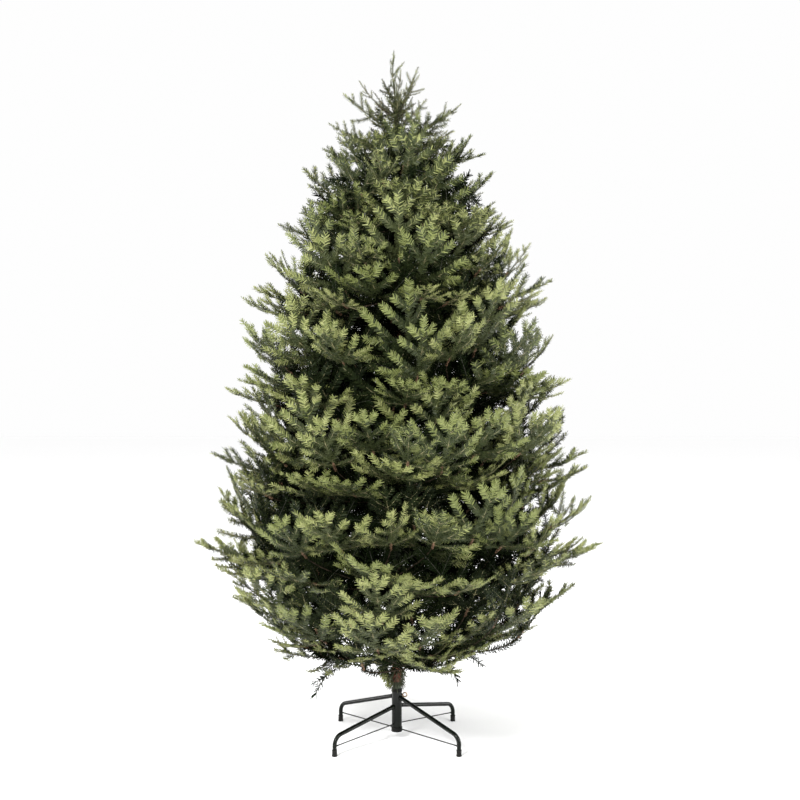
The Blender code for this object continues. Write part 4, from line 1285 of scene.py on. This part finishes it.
def boughEnds(masses):
    # Both ends of every hinged bough.
    return np.array([mass["bough"] for mass in masses if mass["tier"] and mass["tier"]["bough"]])


def tapeWound(pitch, depth):
    # Radius of wound tape: each turn's edge stands proud, as a saw tooth along the helix.
    def relief(way, turn):
        return 1 + depth * ((way / pitch + turn / (2 * math.pi)) % 1.0 - 0.5)
    return relief


wood = {
    # rings and sides of the tubes, pitch and depth of the tape wound on them
    "bough": (48, 18, 0.009, 0.10), "stem": (40, 10, 0.008, 0.10), "stub": (8, 6, 0.006, 0.14),
    "twig": (7, 6), "shoot": (3, 3), "twigRadii": (0.0024, 0.0017),
    # ways along the spray from its root, and radii, of the stub's tape
    "stubWays": (-0.014, -0.011, 0.012, 0.020), "stubRadii": (0.0028, 0.0041, 0.0038, 0.0022),
    # radius of the shortest and longest shoots, and its parts from the root to the tip
    "shootLengths": (0.02, 0.20), "shootRadii": (0.0009, 0.0017), "taper": (1.0, 0.85, 0.5),
    "paleShade": (122, 116, 82), "paleRoughness": 0.55,
    "wireShade": (44, 44, 32), "wireRoughness": 0.6,
}


def makeWood(masses, hosts, twigs, shoots, dark):
    # Tubes along boughs, stems, twigs, the sprays' stubs, all shoots and the dark twigs.
    tape, stub = grainMaterial("brownTape"), grainMaterial("redBrownTape")
    rings, sides, pitch, depth = wood["bough"]
    boughs = boughEnds(masses)
    paths = boughs[:, :1] + (boughs[:, 1:] - boughs[:, :1]) * np.linspace(0, 1, rings)[:, None]
    shape = tubes(paths, np.linspace(*crown["boughRadii"], rings), sides, up, tapeWound(pitch, depth))
    item = buildPiece("tapedBoughs", *shape, tape, "bough_wrap", True)
    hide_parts(*boughNodes)

    rings, sides, pitch, depth = wood["stem"]
    stems = tubes(curvePaths(np.array([host[0] for host in hosts]), rings),
                  np.linspace(*crown["stemRadii"], rings), sides, up, tapeWound(pitch, depth))
    rings, sides = wood["twig"]
    branches = tubes(curvePaths(twigs, rings), np.linspace(*wood["twigRadii"], rings), sides, up)
    rings, sides, pitch, depth = wood["stub"]
    sprays = [spray for mass in masses if mass["tier"] for spray in mass["sprays"]]
    way = np.linspace(wood["stubWays"][0], wood["stubWays"][-1], rings)
    paths = (np.array([spray["root"] for spray in sprays])[:, None]
             + np.array([spray["direction"] for spray in sprays])[:, None] * way[:, None])
    stubs = tubes(paths, np.interp(way, wood["stubWays"], wood["stubRadii"]), sides, up,
                  tapeWound(pitch, depth))
    rings, sides = wood["shoot"]
    thick = np.interp(shoots["lengths"], wood["shootLengths"], wood["shootRadii"])[:, None]
    shafts = tubes(curvePaths(shoots["curves"], rings), thick * np.array(wood["taper"]), sides, up)
    wires = tubes(curvePaths(dark, rings), darkTwigs["radius"], sides, up)
    pale = plainMaterial("paleStem", linear(wood["paleShade"]), wood["paleRoughness"])
    black = plainMaterial("darkWire", linear(wood["wireShade"]), wood["wireRoughness"])
    for name, shape, material, slot, smooth in (
            ("tapedStems", stems, tape, "bough_wrap", True),
            ("tapedTwigs", branches, tape, "bough_wrap", True),
            ("tapedSprayStubs", stubs, stub, "bough_wrap", True),
            ("paleShootStems", shafts, pale, "needles", False),
            ("darkTwigWires", wires, black, "needles", False)):
        item = buildPiece(name, *shape, material, slot, smooth)
        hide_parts(*foliageNodes)


def growDarkNeedles(masses, hosts, twigs, dark):
    # Brushes on the dark twigs, and the same needles wound round boughs, stems and twigs. The
    # further in a twig lies, the darker its colour, as painted shade.
    plan = darkNeedles
    rng = np.random.default_rng(plan["seed"])
    stems = np.array([host[0] for mass, host in zip(masses, hosts) if mass["tier"]])
    boughs = boughEnds(masses)
    far = boughs[:, 1]
    near = boughs[:, 0] * (1 - plan["boughFrom"]) + far * plan["boughFrom"]
    below = twigs[:1 - len(masses[-1]["sprays"])]
    groups = (dark, stems, np.stack([near, (near + far) / 2, far], axis=1), below)
    curves = np.concatenate(groups)
    spacing, size = np.repeat(np.array(plan["brushes"]), [len(group) for group in groups], axis=0).T
    outward = outwardPart(curves[:, 1])
    inner = outward < plan["inner"][0]
    coarse = np.where(inner, plan["inner"][1], 1.0)
    size = size * np.where(inner, plan["inner"][2], 1.0)
    owner, blades = brushNeedles(curves, spacing * coarse, size, plan["width"] * coarse,
                                 plan["core"], rng)
    # painted shade: twigs further in, by their part of the reach, take the darker colours
    strayed = outward + rng.normal(0, plan["outwardJitter"], len(curves))
    shadeOf = np.digitize(strayed, plan["outward"])
    for index, (colour, gloss) in enumerate(plan["shades"]):
        paint = plainMaterial(f"darkNeedle.{index + 1}", linear(colour), plan["roughness"], 0.0, gloss)
        keepBlades(f"darkNeedles.{index + 1}", blades[shadeOf[owner] == index], paint)


# Pole with its collars, and the film wound round it

poleDress = {
    "fuzz": (0.216, 0.162), "wound": (0.290, 1.70), "fuzzSpacing": (0.00016, 0.00025),
    "woundSpacing": 0.0003, "fuzzLength": (0.0120, 0.0290), "woundLength": 0.022, "seed": 51,
    "width": 0.0018, "sink": 0.0005, "shade": (62, 68, 44), "roughness": 0.6,
    # sides and rounding of the pole, the collars and the tape, and how deep the last two sit
    # in the pole
    "pole": (64, 0.0009), "collar": (56, 0.0008), "tape": (56, 0.0006), "overlap": 0.0004,
    # a collar's groove: height of the rims, where its floor begins, depth
    "groove": (0.004, 0.005, 0.0008),
    # green shoots that hang beside the pole's foot: turn, and radius and height of both ends
    "hanging": ((176, 0.058, 0.272, 0.034, 0.178), (200, 0.048, 0.266, 0.026, 0.160),
                (214, 0.080, 0.276, 0.046, 0.190)),
}


def makePole():
    # The stepped pole, a grooved collar at every tier, the tape and the needles at its foot.
    plan = poleDress
    paint, brown = grainMaterial("greenPolePaint"), grainMaterial("brownCollar")
    thick, middle, thin = pole["radii"]
    lower, upper = pole["joints"]
    sides, rounding = plan["pole"]
    outline = roundedProfile(
        [(0, pole["top"]), (thin, pole["top"]), (thin, upper), (middle, upper), (middle, lower),
         (thick, lower), (thick, pole["bottom"]), (0, pole["bottom"])], rounding)
    item = buildPiece("steelPole", *turned(outline, sides), paint, "pole_steel", True)
    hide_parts("pole")

    shapes = []
    heights = [tier["collar"] for tier in tiers] + [pole["topCollar"]]
    outer = pole["collarRadius"]
    rim, floor, depth = plan["groove"]
    sides, rounding = plan["collar"]
    for height in heights:
        half = pole["lowestCollar" if height == heights[0] else "collarHeight"] / 2
        bore = thick if height < lower else middle if height < upper else thin
        bore, low, high = bore - plan["overlap"], height - half, height + half
        outline = roundedProfile(
            [(bore, high), (outer, high), (outer, high - rim), (outer - depth, high - floor),
             (outer - depth, low + floor), (outer, low + rim), (outer, low), (bore, low)], rounding)
        shapes.append(turned(outline, sides))
    bottom, top, layer = pole["tape"]
    sides, rounding = plan["tape"]
    bore, outer = thick - plan["overlap"], thick + layer
    outline = [(bore, top), (outer, top), (outer, bottom), (bore, bottom)]
    shapes.append(turned(roundedProfile(outline, rounding), sides))
    item = buildPiece("hingeCollars", *joinShapes(shapes), brown, "pole_steel", True)
    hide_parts("pole")

    rng = np.random.default_rng(plan["seed"])
    fuzzy = np.array([[(0, 0, z) for z in np.linspace(*plan["fuzz"], 3)]] * 2)
    wound = np.array([[(0, 0, z) for z in np.linspace(*plan["wound"], 3)]])
    green = plainMaterial("poleFilm", linear(plan["shade"]), plan["roughness"])
    for name, curves, kind in (("poleFuzz", fuzzy, "fuzz"), ("poleFilm", wound, "wound")):
        spacing, size = np.array(plan[f"{kind}Spacing"]), np.array(plan[f"{kind}Length"])
        blades = brushNeedles(curves, spacing, size, plan["width"], thick - plan["sink"], rng)[1]
        keepBlades(name, blades, green)


# Assembly

foliageNodes = sorted(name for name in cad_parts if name.startswith("foliage"))
boughNodes = sorted(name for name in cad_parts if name.startswith("bough"))

print("stage")
makeStage()
print("stand")
makeHub()
makeEyeBolt()
makeLegs()
print("pole")
makePole()
masses = growCrown()
growInnerSprays(masses)
hosts, twigs = growTwigCurves(masses)
shoots = growAllShoots(masses, twigs)
dark = growDarkTwigs(masses, hosts)
print("boughs and twigs")
makeWood(masses, hosts, twigs, shoots, dark)
print("needles")
growLightNeedles(shoots)
growDarkNeedles(masses, hosts, twigs, dark)
